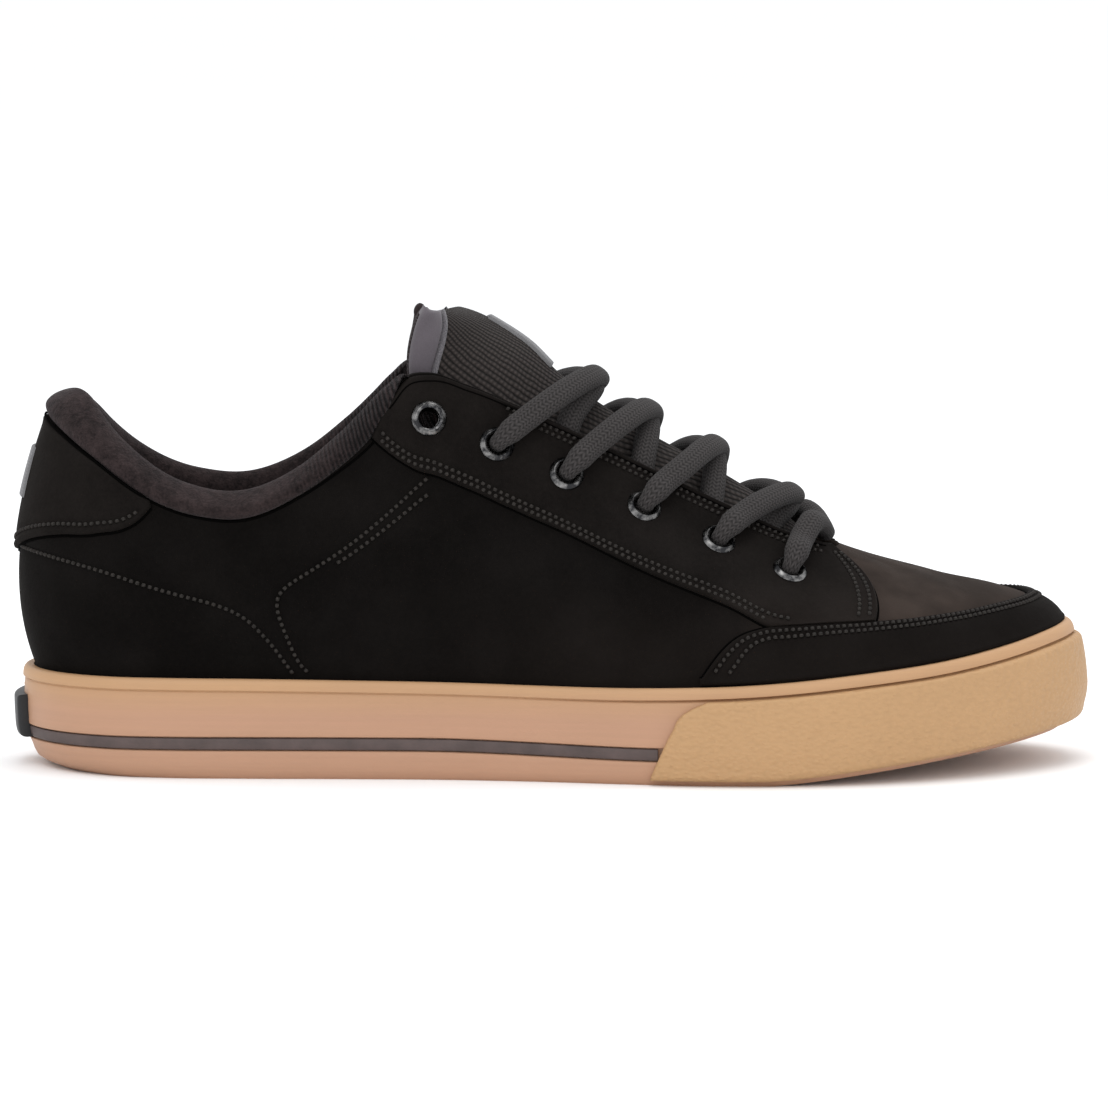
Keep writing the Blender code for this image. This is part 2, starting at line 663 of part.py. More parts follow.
def make_stripe():
    """Thin dark band that lies in the channel of the side, round the heel from bumper to bumper."""
    end_gap, last_step = 0.006, 0.008
    end = turn_at(BUMPER_REAR[1].along) - end_gap
    at = PLACES[np.minimum(PLACES, 1 - PLACES) * 2 < end - last_step]
    at = np.sort(np.where(at > 0.5, at - 1, at))
    at = np.concatenate(([-end / 2], at, [end / 2]))
    x = outline(at)[0][:, 0]
    rows = []
    recess = 0.25
    for offset, depth in ((-1, 1), (-1, recess), (1, recess), (1, 1)):
        height = stripe_height(x) + bottom_height(x) + offset * STRIPE_WIDTH / 2
        rows.append(wall_point(at, wall_share(at, height), -depth * STRIPE_DEPTH))
    return bar("stripe", np.stack(rows, 1), STRIPE_INK)


def turn_at(along):
    """Turn at which the sole's plan has reached a share of the length."""
    turns = column(SOLE_PLAN, "turn")
    fine = np.linspace(0, 1, 401)
    reached = spline(turns, column(SOLE_PLAN, "along"), fine)[:, 0]
    return float(np.interp(along, reached, fine))


def make_bumper():
    """Pebbled rubber band round the toe, from its slanted rear edges up to under the rim."""
    front_from = 0.70
    base = 2 * PLACES[np.abs(2 * PLACES - 1) < 1 - front_from]
    low_shares = (0.07, 0.20)
    thin_edge = 0.6
    blend = np.array((0, 0.25, 0.50, 0.75))
    channel = STRIPE_WIDTH / 2 + GAP
    outer, inner = [], []
    for level in range(5):
        at = base / 2
        x = outline(at)[0][:, 0]
        middle = stripe_height(x) + bottom_height(x)
        levels = (None, None, middle - channel, middle + channel, rim_height(x) - RIM_BAND - GAP)
        share = wall_share(at, levels[level]) if level > 1 else np.full_like(at, low_shares[level])
        keys = column(BUMPER_REAR, "height")
        along = spline(keys, column(BUMPER_REAR, "along"), np.array(share[0]))[..., 0]
        start = turn_at(float(along))
        first = start + (base[0] - start) * blend
        at = np.concatenate((first, base, 2 - first[::-1])) / 2
        share = np.concatenate((share[[0] * len(blend)], share, share[[-1] * len(blend)]))
        thick = BUMPER_THICK * (thin_edge if level in (0, 4) else 1.0)
        outer.append(wall_point(at, share, BUMPER_GAP + thick))
        inner.append(wall_point(at, share, BUMPER_GAP))
    return sheet("toe_bumper", np.stack(outer), np.stack(inner), BUMPER_GUM)


def make_heel_tab():
    """Small dark rubber plate on the back of the side wall, over the stripe."""
    at, heights = np.meshgrid(
        np.linspace(-HEEL_TAB_TURN, HEEL_TAB_TURN, 7), (TAB_LOW, (TAB_LOW + TAB_HIGH) / 2, TAB_HIGH)
    )
    share = wall_share(at, heights)
    outer = wall_point(at, share, BUMPER_GAP + TAB_THICK)
    return sheet("heel_tab", outer, wall_point(at, share, BUMPER_GAP), DARK_RUBBER)


def make_insole():
    """Footbed on the cup's floor, inside the upper's lasted edge."""
    at = PLACES[::2]
    rows = []
    for more, lift in ((0, 0), (0, INSOLE_THICK + INSOLE_EDGE_RISE), (INSOLE_EDGE, INSOLE_THICK)):
        plan = cup_inset(at, UPPER_WALL + 3 * GAP + more)[0]
        z = floor_height(outline(at)[0][:, 0]) + GAP + lift
        rows.append(np.concatenate((plan, z[:, None]), 1))
    sections = np.stack(rows, 1)
    count, sides = sections.shape[:2]
    faces = []
    for i in range(count):
        for j in range(sides - 1):
            here, there = i * sides, (i + 1) % count * sides
            faces.append((here + j, there + j, there + j + 1, here + j + 1))
    faces += ladder(count, lambda i: i * sides)
    faces += ladder(count, lambda i: i * sides + sides - 1)
    return add_object("insole", sections.reshape(-1, 3), faces, FOOTBED)


def make_upper():
    """Hollow nubuck shell: outer and inner face, lasted edge down inside the cup, open top."""
    at = PLACES
    grid_at, grid_rise = np.meshgrid(at, UPPER_RISES, indexing="ij")
    outer = upper_point(grid_at, grid_rise)
    inner = upper_layer(grid_at, grid_rise, np.full_like(grid_at, -UPPER_WALL))
    floor = floor_height(outline(at)[0][:, 0]) + GAP
    skirt_out = outer[:, :1].copy()
    skirt_out[..., 2] = floor[:, None]
    plan = cup_inset(at, GAP + UPPER_WALL)[0]
    skirt_in = np.concatenate((plan, floor[:, None]), 1)[:, None]
    inner[:, 0, :2] = plan
    inner[:, 0, 2] = outer[:, 0, 2]
    sections = np.concatenate((skirt_out, outer, inner[:, ::-1], skirt_in), 1)
    made = ring("upper", sections, NUBUCK)
    cut(made, make_eyelet_cutter("upper_holes"))
    return made


def eyelet_frame(index, side):
    """Centre of an eyelet on the upper's face, and its outward direction."""
    at = side_place(EYELETS[index].turn, side)
    rises = np.linspace(1, 0.3, 71)
    line = upper_point(np.full_like(rises, at), rises)
    run = np.concatenate(([0], np.cumsum(np.linalg.norm(np.diff(line, axis=0), axis=1))))
    rise = np.interp(EYELET_SETBACK * EYELETS[index].setback, run, rises)
    return upper_point(at, rise), upper_normal(np.array(at), np.array(rise))


def turned_ring(centre, normal, profile, sides):
    """Closed ring turned about normal through centre, from (radius, height) points."""
    turn = Vector(normal).to_track_quat("Z", "Y").to_matrix()
    sections = []
    for i in range(sides):
        angle = 2 * math.pi * i / sides
        spoke = np.array(turn @ Vector((math.cos(angle), math.sin(angle), 0)))
        sections.append([centre + spoke * r + normal * h for r, h in profile])
    return np.array(sections)


def make_eyelet_cutter(name):
    """Round holes for the eyelets through the upper and its eyestays."""
    radius = EYELET_BORE / 2 + GAP
    below, above = 0.005, 0.006
    sides = 10
    parts = []
    for side in (-1, 1):
        for index in range(len(EYELETS)):
            centre, normal = eyelet_frame(index, side)
            rim = turned_ring(centre, normal, ((radius, -below), (radius, above)), sides)
            points = [tuple(p) for p in rim[:, 0]] + [tuple(p) for p in rim[:, 1]]
            faces = [tuple(reversed(range(sides))), tuple(range(sides, 2 * sides))]
            faces += [(j, (j + 1) % sides, sides + (j + 1) % sides, sides + j) for j in range(sides)]
            parts.append((points, faces))
    return join_parts(name, parts, GUNMETAL)


def make_eyelets():
    """Metal rings on the eyestays."""
    low = STAY_GAP + LAYER + EYELET_SEAT
    high = low + EYELET_THICK
    bore, flange = EYELET_BORE / 2, EYELET_FLANGE / 2
    rounding = 0.0006
    profile = ((bore, low), (flange, low), (flange - rounding, high), (bore + rounding / 2, high))
    for side, word in ((-1, "lateral"), (1, "medial")):
        for index in range(len(EYELETS)):
            centre, normal = eyelet_frame(index, side)
            ring(f"eyelet_{word}_{index + 1}", turned_ring(centre, normal, profile, 10), GUNMETAL)


def make_eyestay(side, word):
    """Overlay that carries the eyelets of one side."""
    share = np.linspace(0, 1, 15)
    keys = np.linspace(0, 1, len(STAY_ROWS))
    low_turn, low_rise, top_turn = (
        spline(keys, column(STAY_ROWS, name), share)[:, 0] for name in ("low_turn", "low_rise", "top_turn")
    )
    across = np.linspace(0, 1, 6)[:, None]
    turn = low_turn + (top_turn - low_turn) * across
    rise = low_rise + (EDGE_RISE - low_rise) * across
    at = side_place(turn, side)
    base = np.full_like(turn, STAY_GAP)
    made = sheet(f"eyestay_{word}", upper_layer(at, rise, base + LAYER), upper_layer(at, rise, base), NUBUCK)
    cut(made, make_eyelet_cutter(f"eyestay_{word}_holes"))
    return made


def make_toe_overlay():
    """Mudguard round the toe: from just over the rim to its stitched upper edge."""
    turns = np.linspace(TOE_EDGE[0].turn, 1, 14)
    turns = np.concatenate((turns, 2 - turns[-2::-1]))
    mirrored = np.minimum(turns, 2 - turns)
    edge = spline(column(TOE_EDGE, "turn"), column(TOE_EDGE, "rise"), mirrored)[:, 0]
    low, least = 0.015, 0.03
    across = np.linspace(0, 1, 4)[:, None]
    rise = low + (np.maximum(edge, low + least) - low) * across
    at = np.broadcast_to(turns / 2, rise.shape)
    base = np.full_like(rise, 2 * GAP)
    return sheet("toe_overlay", upper_layer(at, rise, base + LAYER), upper_layer(at, rise, base), NUBUCK)


def make_heel_overlay():
    """Panel round the back of the collar, from its curved lower edge to the collar's seam."""
    turns = np.linspace(-HEEL_EDGE[-1].turn, HEEL_EDGE[-1].turn, 15)
    edge = spline(column(HEEL_EDGE, "turn"), column(HEEL_EDGE, "rise"), np.abs(turns))[:, 0]
    across = np.linspace(0, 1, 4)[:, None]
    rise = edge + (EDGE_RISE - edge) * across
    at = np.broadcast_to(turns / 2, rise.shape)
    base = np.full_like(rise, 2 * GAP)
    return sheet("heel_overlay", upper_layer(at, rise, base + LAYER), upper_layer(at, rise, base), NUBUCK)


def make_heel_patch():
    """Plain patch on the back of the heel overlay."""
    at, rise = np.meshgrid(np.linspace(-PATCH_TURN, PATCH_TURN, 5) / 2, PATCH_RISES)
    base = np.full_like(rise, 4 * GAP + LAYER)
    return sheet("heel_patch", upper_layer(at, rise, base + PATCH_THICK), upper_layer(at, rise, base), PATCH)


def make_collar_pad():
    """Padded textile roll over the collar's edge, with its lining down inside the ankle."""
    half = PLACES[PLACES * 2 < PAD_ROWS[-1].turn]
    at = np.concatenate((-half[:0:-1], half))
    turn = np.abs(at) * 2
    rise, medial_rise, thick, depth = (
        spline(column(PAD_ROWS, "turn"), column(PAD_ROWS, name), turn)[:, 0]
        for name in ("rise", "medial_rise", "thick", "depth")
    )
    rise = np.where(at < 0, medial_rise, rise) * PAD_RISE
    thick, depth = thick * PAD_THICK, depth * LINING_DEPTH
    top = upper_point(at, 1.0)
    out = upper_normal(at, np.ones_like(at))
    up = unit(top - upper_point(at, 0.97))
    height = np.linalg.norm(top - upper_point(at, 0.0), axis=1)
    back = UPPER_WALL + PAD_GAP

    def over(e, n):
        return top + up * np.asarray(e)[..., None] + out * np.asarray(n)[..., None]

    def inside(share_down, n):
        place = 1 - share_down * depth / height
        return upper_layer(at, place, -(back + n))

    zero = np.zeros_like(at)
    rows = [
        over(zero + 2 * GAP, zero + LAYER),
        over(0.45 * rise, zero + LAYER + 0.0004),
        over(0.85 * rise, -0.18 * thick),
        over(rise, -0.5 * thick),
        over(0.80 * rise, -0.85 * thick),
        over(0.1 * rise, -thick),
        inside(0.45, zero + LINING_THICK),
        inside(0.90, zero + LINING_THICK * 0.8),
        inside(1.0, zero + GAP * 3),
        inside(0.9, zero),
        inside(0.45, zero),
        over(zero + 2 * GAP, zero - back),
    ]
    return bar("collar_pad", np.stack(rows, 1), TEXTILE)


def tongue_point(up, across):
    """Face of the tongue: share of its length from the sewn end, and -1 to 1 across it."""
    up, across = np.broadcast_arrays(np.asarray(up, float), np.asarray(across, float))
    keys = np.linspace(0, 1, len(TONGUE_ROWS))
    names = ("crest_along", "crest_height", "side_along", "side_height", "half", "wrap")
    values = spline(keys, np.stack([column(TONGUE_ROWS, name) for name in names], 1), up)
    crest_x, crest_z, side_x, side_z, half, wrap = (values[..., i] for i in range(6))
    angle = across * math.pi / 2
    ridge = np.abs(np.sin(angle)) ** 1.6
    bend = (1 - wrap) * ridge + wrap * (1 - np.cos(angle))
    x = to_x(crest_x + (side_x - crest_x) * bend)
    z = INSTEP_HEIGHT * (crest_z + (side_z - crest_z) * bend)
    return np.stack((x, THROAT_WIDTH * half * np.sin(angle), z), -1)


def tongue_normal(up, across):
    step = 0.01
    low, high = np.clip(up - step, 0, 1), np.clip(up + step, 0, 1)
    length = tongue_point(high, across) - tongue_point(low, across)
    left, right = np.clip(across - step, -1, 1), np.clip(across + step, -1, 1)
    width = tongue_point(up, right) - tongue_point(up, left)
    return unit(np.cross(width, length))


def tongue_thickness(up):
    keys = np.linspace(0, 1, len(TONGUE_ROWS))
    return TONGUE_THICK * spline(keys, column(TONGUE_ROWS, "thick"), up)[..., 0]


def make_tongue():
    """Thick padded tongue, sewn under the vamp and wrapped round the front of the ankle."""
    up = np.concatenate((np.linspace(0, 0.92, 14), (0.965, 1.0)))
    across = np.array((-1, -0.86, -0.6, -0.3, 0, 0.3, 0.6, 0.86, 1))
    grid_up, grid_across = np.meshgrid(up, across, indexing="ij")
    aside = np.abs(grid_across)
    tip = soft_step(0.94, 1.0, grid_up)
    rounded = grid_up - TONGUE_CORNER * soft_step(0.5, 1.0, aside) * soft_step(0.85, 1.0, grid_up)
    face = tongue_point(rounded, grid_across)
    depth = tongue_normal(rounded, grid_across) * tongue_thickness(grid_up)[..., None]
    top = np.maximum(0.22 * aside**6, 0.30 * tip)[..., None]
    base = (1 - np.maximum(0.40 * aside**4, 0.30 * tip))[..., None]
    return sheet("tongue", face - depth * top, face - depth * base, MESH)


def make_label():
    """Plain woven label along the top of the tongue's ridge."""
    up = np.linspace(*LABEL_UP, 5)
    across = np.linspace(-LABEL_ACROSS, LABEL_ACROSS, 5)
    grid_up, grid_across = np.meshgrid(up, across, indexing="ij")
    face = tongue_point(grid_up, grid_across)
    out = tongue_normal(grid_up, grid_across)
    return sheet("tongue_label", face + out * (2 * GAP + LABEL_THICK), face + out * 2 * GAP, PATCH)


def lace_path(index, side):
    """Route of a lace strand: out of an eyelet, over the ridge, to the far edge one eyelet on."""
    start, normal = eyelet_frame(index, side)
    last = len(EYELETS) - 1
    straight = index == last
    far = last if straight else index + 1
    end, far_normal = eyelet_frame(far, -side)
    radius = LACE_WIDTH / 2
    rest = STAY_GAP + LAYER + EYELET_SEAT + EYELET_THICK + GAP
    over = radius + 2 * GAP
    skew, lead = (0.042, 0.042) if straight else (0.054, 0.018)
    near_place = np.array(side_place(EYELETS[index].turn + skew, side))
    far_place = np.array(side_place(EYELETS[far].turn + lead, -side))
    near_edge, near_up = upper_point(near_place, 1.0), upper_normal(near_place, np.array(1.0))
    far_edge, far_up = upper_point(far_place, 1.0), upper_normal(far_place, np.array(1.0))
    stack = LACE_STACK if side < 0 and not straight else 0.0
    middle = crest_point(to_x(LACE_CRESTS[index - FIRST_LACED]))
    crest = middle + crest_normal(middle) * (over + stack)
    edge_lift = LAYER + 2 * GAP + over + LACE_LIFT + (BAR_LIFT if straight else 0.0)
    heights = rest + radius * np.array((0.2, 0.6, 1.3))
    lean = np.array((0, 0, 0.06))
    rising = [start + normal * h + (near_edge - start) * k for h, k in zip(heights, lean)]
    points = rising + [near_edge + near_up * edge_lift, crest, far_edge + far_up * edge_lift]
    if straight:
        falling = [end + far_normal * h + (far_edge - end) * k for h, k in zip(heights, lean)]
        points += falling[::-1]
    return np.array(points)


def crest_point(x):
    """Point of the tongue's ridge at a given x."""
    up = np.linspace(0, 1, 201)
    line = tongue_point(up, np.zeros_like(up))
    return np.array([np.interp(x, line[::-1, 0], line[::-1, axis]) for axis in range(3)])


def crest_normal(point):
    up = np.linspace(0, 1, 201)
    line = tongue_point(up, np.zeros_like(up))
    nearest = up[np.argmin(np.linalg.norm(line - point, axis=1))]
    return tongue_normal(np.array(nearest), np.array(0.0))


def tube_sections(route, radius, sides, count):
    """Round sections of a tube along a smooth curve through the route's points."""
    run = np.concatenate(([0], np.cumsum(np.linalg.norm(np.diff(route, axis=0), axis=1))))
    at = np.linspace(0, run[-1], count)
    line = spline(run, route, at)
    step = 0.0002
    ahead = unit(spline(run, route, np.minimum(at + step, run[-1])) - spline(run, route, np.maximum(at - step, 0)))
    side = unit(np.cross(ahead[0], Z + 0.01 * X))
    sections = []
    for point, forward in zip(line, ahead):
        side = unit(side - forward * (side @ forward))
        up = np.cross(side, forward)
        angles = 2 * math.pi * np.arange(sides) / sides
        sections.append([point + radius * (math.cos(a) * side + math.sin(a) * up) for a in angles])
    return np.array(sections)


def make_laces():
    """Crossings of the lace: two strands joined where they cross, the last with the bar at the base."""
    radius = LACE_WIDTH / 2
    last = len(EYELETS) - 1
    for index in range(FIRST_LACED, last):
        upper_strand = bar(f"lace_crossing_{index}", tube_sections(lace_path(index, -1), radius, 8, 10), CORD)
        lower = bar(f"lace_under_{index}", tube_sections(lace_path(index, 1), radius, 8, 10), CORD)
        cut(upper_strand, lower, "UNION")
    base_bar = bar("lace_bar", tube_sections(lace_path(last, -1), radius, 8, 15), CORD)
    cut(upper_strand, base_bar, "UNION")


def main():
    for old in list(bpy.data.objects):
        bpy.data.objects.remove(old, do_unlink=True)
    make_outsole()
    make_stripe()
    make_bumper()
    make_heel_tab()
    make_insole()
    make_upper()
    make_collar_pad()
    make_tongue()
    make_label()
    for side, word in ((-1, "lateral"), (1, "medial")):
        make_eyestay(side, word)
    make_toe_overlay()
    make_heel_overlay()
    make_heel_patch()
    make_eyelets()
    make_laces()


main()
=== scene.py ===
"""Skateboarding shoe for the right foot: the finished look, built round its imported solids.

Metres, +Z up. +X is the toe and -Y the outer (lateral) side. The tables and curves at the start
are those of the solids, so each finished piece stands where its solid does. A turn of 0 is the
middle of the heel and 1 the tip of the toe, along the lateral or along the medial side.
"""

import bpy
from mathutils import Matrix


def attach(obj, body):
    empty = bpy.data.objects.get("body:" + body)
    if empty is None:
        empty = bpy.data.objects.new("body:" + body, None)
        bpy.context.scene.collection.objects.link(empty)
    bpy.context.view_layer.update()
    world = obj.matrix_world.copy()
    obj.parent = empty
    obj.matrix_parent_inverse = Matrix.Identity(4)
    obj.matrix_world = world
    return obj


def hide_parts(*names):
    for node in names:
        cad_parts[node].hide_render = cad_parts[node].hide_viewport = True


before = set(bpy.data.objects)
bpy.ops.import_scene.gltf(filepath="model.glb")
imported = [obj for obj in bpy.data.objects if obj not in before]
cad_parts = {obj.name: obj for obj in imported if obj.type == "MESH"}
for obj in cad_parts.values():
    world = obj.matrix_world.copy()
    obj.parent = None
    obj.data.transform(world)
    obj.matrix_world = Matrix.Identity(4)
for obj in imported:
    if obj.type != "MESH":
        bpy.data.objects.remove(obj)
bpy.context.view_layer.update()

import math
from collections import namedtuple

import bmesh
import bpy
import numpy as np
from mathutils import Vector
from mathutils.kdtree import KDTree

bl_info = {
    "name": "Skateboarding shoe",
    "version": (1, 0, 0),
    "blender": (4, 5, 0),
    "location": "View3D > Sidebar > Shoe",
    "description": "Makes a right skateboarding shoe on a gum cup sole, piece by piece",
    "category": "Add Mesh",
}

# Main sizes of the shoe
LENGTH = 0.300
BALL_WIDTH = 0.110
HEEL_WIDTH = 0.078
RIM_HEIGHT = 0.0278
TOE_SPRING = 0.0095
HEEL_HEIGHT = 0.0974
INSTEP_HEIGHT = 0.111
COLLAR_DIP = 0.0710
VAMP_HEIGHT = 0.061
COLLAR_WIDTH = 0.067
THROAT_WIDTH = 0.059

# Walls, layers and clearances
GAP = 0.0003
BUMPER_GAP = 0.0005
UPPER_WALL = 0.002
LAYER = 0.0013
RIM_THICK = 0.0022
RIM_BAND = 0.0035
RIM_GROOVE = 0.0006
RIM_LEAN = 0.0038
EDGE_TUCK = 0.0095
FLOOR_AT_HEEL = 0.0150
FLOOR_AT_BALL = 0.0090
INSOLE_THICK = 0.0045
BUMPER_THICK = 0.0017
STRIPE_WIDTH = 0.0032
STRIPE_PLACE = 0.0098
STRIPE_DEPTH = 0.0012

# Soft parts and fastening
PAD_RISE = 0.0100
PAD_THICK = 0.0105
LINING_DEPTH = 0.030
LINING_THICK = 0.0045
TONGUE_THICK = 0.0085
LABEL_THICK = 0.0009
EYELET_FLANGE = 0.0097
EYELET_BORE = 0.0054
EYELET_SETBACK = 0.0163
LACE_STACK = 0.0024
BAR_LIFT = 0.0013
TAB_THICK = 0.0024
TAB_LOW = 0.0081
TAB_HIGH = 0.0200
PATCH_THICK = 0.0009

# Spans of the small pieces: half turns round the heel, shares of the wall's profile, and shares
# of the tongue's length and half width
HEEL_TAB_TURN = 0.017
PATCH_TURN = 0.028
PATCH_RISES = (0.66, 0.86)
LABEL_UP = (0.66, 0.86)
LABEL_ACROSS = 0.17
TONGUE_CORNER = 0.018

# The spring of the toe starts at this share of the length, and is whole at the second
SPRING_FROM = 0.69
SPRING_TO = 0.97

# Plan of the sole at its widest, a row for each section from heel to toe. along is the share of
# the length from the back, heel is how far the row follows the heel's width and not the ball's,
# lateral and medial are half widths as shares of that width. lean and tuck are shares of
# RIM_LEAN and EDGE_TUCK: how far the rim and the bottom edge stand in from the widest line.
Section = namedtuple("Section", "turn along heel lateral medial lean tuck")
SOLE_PLAN = (
    Section(0.000, 0.0083, 1.0, 0.000, 0.000, 0.10, 1.00),
    Section(0.039, 0.0162, 1.0, 0.171, 0.167, 0.12, 0.96),
    Section(0.088, 0.0477, 1.0, 0.351, 0.346, 0.15, 0.80),
    Section(0.136, 0.0967, 1.0, 0.465, 0.459, 0.20, 0.52),
    Section(0.183, 0.1500, 1.0, 0.500, 0.491, 0.22, 0.36),
    Section(0.247, 0.2233, 1.0, 0.510, 0.494, 0.25, 0.28),
    Section(0.319, 0.3067, 0.8, 0.478, 0.441, 0.25, 0.27),
    Section(0.401, 0.4000, 0.6, 0.460, 0.399, 0.25, 0.27),
    Section(0.483, 0.4933, 0.4, 0.473, 0.389, 0.25, 0.27),
    Section(0.548, 0.5667, 0.2, 0.489, 0.401, 0.26, 0.27),
    Section(0.607, 0.6333, 0.0, 0.490, 0.418, 0.28, 0.27),
    Section(0.656, 0.6900, 0.0, 0.497, 0.453, 0.30, 0.28),
    Section(0.712, 0.7533, 0.0, 0.482, 0.473, 0.34, 0.30),
    Section(0.768, 0.8167, 0.0, 0.436, 0.465, 0.42, 0.34),
    Section(0.823, 0.8733, 0.0, 0.364, 0.432, 0.56, 0.42),
    Section(0.876, 0.9233, 0.0, 0.268, 0.373, 0.74, 0.50),
    Section(0.921, 0.9600, 0.0, 0.168, 0.300, 0.88, 0.58),
    Section(0.961, 0.9850, 0.0, 0.064, 0.205, 0.97, 0.63),
    Section(1.000, 0.9957, 0.0, -0.055, 0.055, 1.00, 0.65),
)

# Height of the rim along the shoe, as a share of RIM_HEIGHT
RimPoint = namedtuple("RimPoint", "along rim")
RIM_LINE = (
    RimPoint(0.00, 1.000),
    RimPoint(0.18, 0.996),
    RimPoint(0.38, 0.971),
    RimPoint(0.58, 0.953),
    RimPoint(0.68, 0.993),
    RimPoint(0.785, 1.090),
    RimPoint(0.870, 1.185),
    RimPoint(0.926, 1.280),
    RimPoint(0.974, 1.380),
    RimPoint(1.000, 1.430),
)

# How the lower edge of the sole's side rolls under: share of the tuck left at each height share
CurlPoint = namedtuple("CurlPoint", "height tuck")
EDGE_CURL = (
    CurlPoint(0.00, 1.00),
    CurlPoint(0.07, 0.48),
    CurlPoint(0.20, 0.22),
    CurlPoint(0.36, 0.04),
    CurlPoint(0.50, 0.00),
    CurlPoint(1.00, 0.00),
)

# Top edge of the upper, from the back of the heel along the collar, over the corner beside the
# tongue and down the throat to its base. along is a share of LENGTH. side is the half width, as a
# share of the width that "of" names, and rise a share of the height that "to" names.
TopPoint = namedtuple("TopPoint", "turn along side of rise to")
TOP_LINE = (
    TopPoint(0.000, 0.035, 0.000, COLLAR_WIDTH, 1.000, HEEL_HEIGHT),
    TopPoint(0.088, 0.050, 0.231, COLLAR_WIDTH, 0.960, HEEL_HEIGHT),
    TopPoint(0.136, 0.078, 0.351, COLLAR_WIDTH, 0.895, HEEL_HEIGHT),
    TopPoint(0.183, 0.120, 0.430, COLLAR_WIDTH, 1.098, COLLAR_DIP),
    TopPoint(0.247, 0.177, 0.481, COLLAR_WIDTH, 1.006, COLLAR_DIP),
    TopPoint(0.300, 0.227, 0.500, COLLAR_WIDTH, 1.006, COLLAR_DIP),
    TopPoint(0.345, 0.273, 0.501, COLLAR_WIDTH, 1.100, COLLAR_DIP),
    TopPoint(0.385, 0.310, 0.493, COLLAR_WIDTH, 1.240, COLLAR_DIP),
    TopPoint(0.415, 0.335, 0.478, COLLAR_WIDTH, 0.871, INSTEP_HEIGHT),
    TopPoint(0.435, 0.352, 0.463, COLLAR_WIDTH, 0.936, INSTEP_HEIGHT),
    TopPoint(0.450, 0.367, 0.500, THROAT_WIDTH, 0.988, INSTEP_HEIGHT),
    TopPoint(0.465, 0.388, 0.475, THROAT_WIDTH, 0.996, INSTEP_HEIGHT),
    TopPoint(0.490, 0.420, 0.446, THROAT_WIDTH, 0.968, INSTEP_HEIGHT),
    TopPoint(0.540, 0.468, 0.420, THROAT_WIDTH, 0.914, INSTEP_HEIGHT),
    TopPoint(0.600, 0.540, 0.395, THROAT_WIDTH, 0.824, INSTEP_HEIGHT),
    TopPoint(0.655, 0.607, 0.365, THROAT_WIDTH, 0.734, INSTEP_HEIGHT),
    TopPoint(0.705, 0.667, 0.330, THROAT_WIDTH, 0.653, INSTEP_HEIGHT),
    TopPoint(0.750, 0.710, 0.295, THROAT_WIDTH, 1.082, VAMP_HEIGHT),
    TopPoint(0.800, 0.740, 0.250, THROAT_WIDTH, 1.025, VAMP_HEIGHT),
    TopPoint(0.870, 0.758, 0.170, THROAT_WIDTH, 1.005, VAMP_HEIGHT),
    TopPoint(0.940, 0.765, 0.080, THROAT_WIDTH, 1.000, VAMP_HEIGHT),
    TopPoint(1.000, 0.767, 0.000, THROAT_WIDTH, 1.000, VAMP_HEIGHT),
)

# Shape of the upper between rim and top edge. The wall leaves the rim towards a point that
# stands bulge out from it (a share of BALL_WIDTH) and lift up (a share of the wall's height). It
# reaches the top edge from a point reach outwards (a share of BALL_WIDTH) and drop below it.
Profile = namedtuple("Profile", "turn bulge lift reach drop")
PROFILES = (
    Profile(0.000, 0.080, 0.33, 0.070, 0.31),
    Profile(0.100, 0.060, 0.33, 0.061, 0.31),
    Profile(0.183, 0.040, 0.33, 0.052, 0.30),
    Profile(0.260, 0.030, 0.35, 0.042, 0.33),
    Profile(0.345, 0.026, 0.36, 0.045, 0.35),
    Profile(0.420, 0.030, 0.33, 0.062, 0.33),
    Profile(0.490, 0.032, 0.30, 0.085, 0.32),
    Profile(0.600, 0.023, 0.33, 0.100, 0.36),
    Profile(0.705, 0.016, 0.38, 0.118, 0.42),
    Profile(0.800, 0.004, 0.40, 0.165, 0.38),
    Profile(0.900, -0.010, 0.44, 0.225, 0.42),
    Profile(1.000, -0.026, 0.49, 0.255, 0.49),
)
FAN = 0.010

# Overlays stop at this share of the profile, just under the top edge
EDGE_RISE = 0.992

# Padded roll round the ankle: its height and thickness as shares of PAD_RISE and PAD_THICK,
# and the depth of the lining inside as a share of LINING_DEPTH
PadRow = namedtuple("PadRow", "turn rise medial_rise thick depth")
PAD_ROWS = (
    PadRow(0.000, 0.88, 0.88, 1.00, 1.00),
    PadRow(0.050, 1.02, 0.96, 0.99, 1.00),
    PadRow(0.100, 1.42, 1.10, 0.98, 1.00),
    PadRow(0.140, 1.60, 1.16, 0.96, 0.97),
    PadRow(0.190, 1.34, 1.08, 0.88, 0.91),
    PadRow(0.240, 1.02, 0.98, 0.84, 0.85),
    PadRow(0.300, 0.84, 0.88, 0.80, 0.80),
    PadRow(0.385, 0.70, 0.66, 0.76, 0.85),
    PadRow(0.430, 0.48, 0.40, 0.62, 0.90),
    PadRow(0.446, 0.22, 0.20, 0.52, 0.90),
)

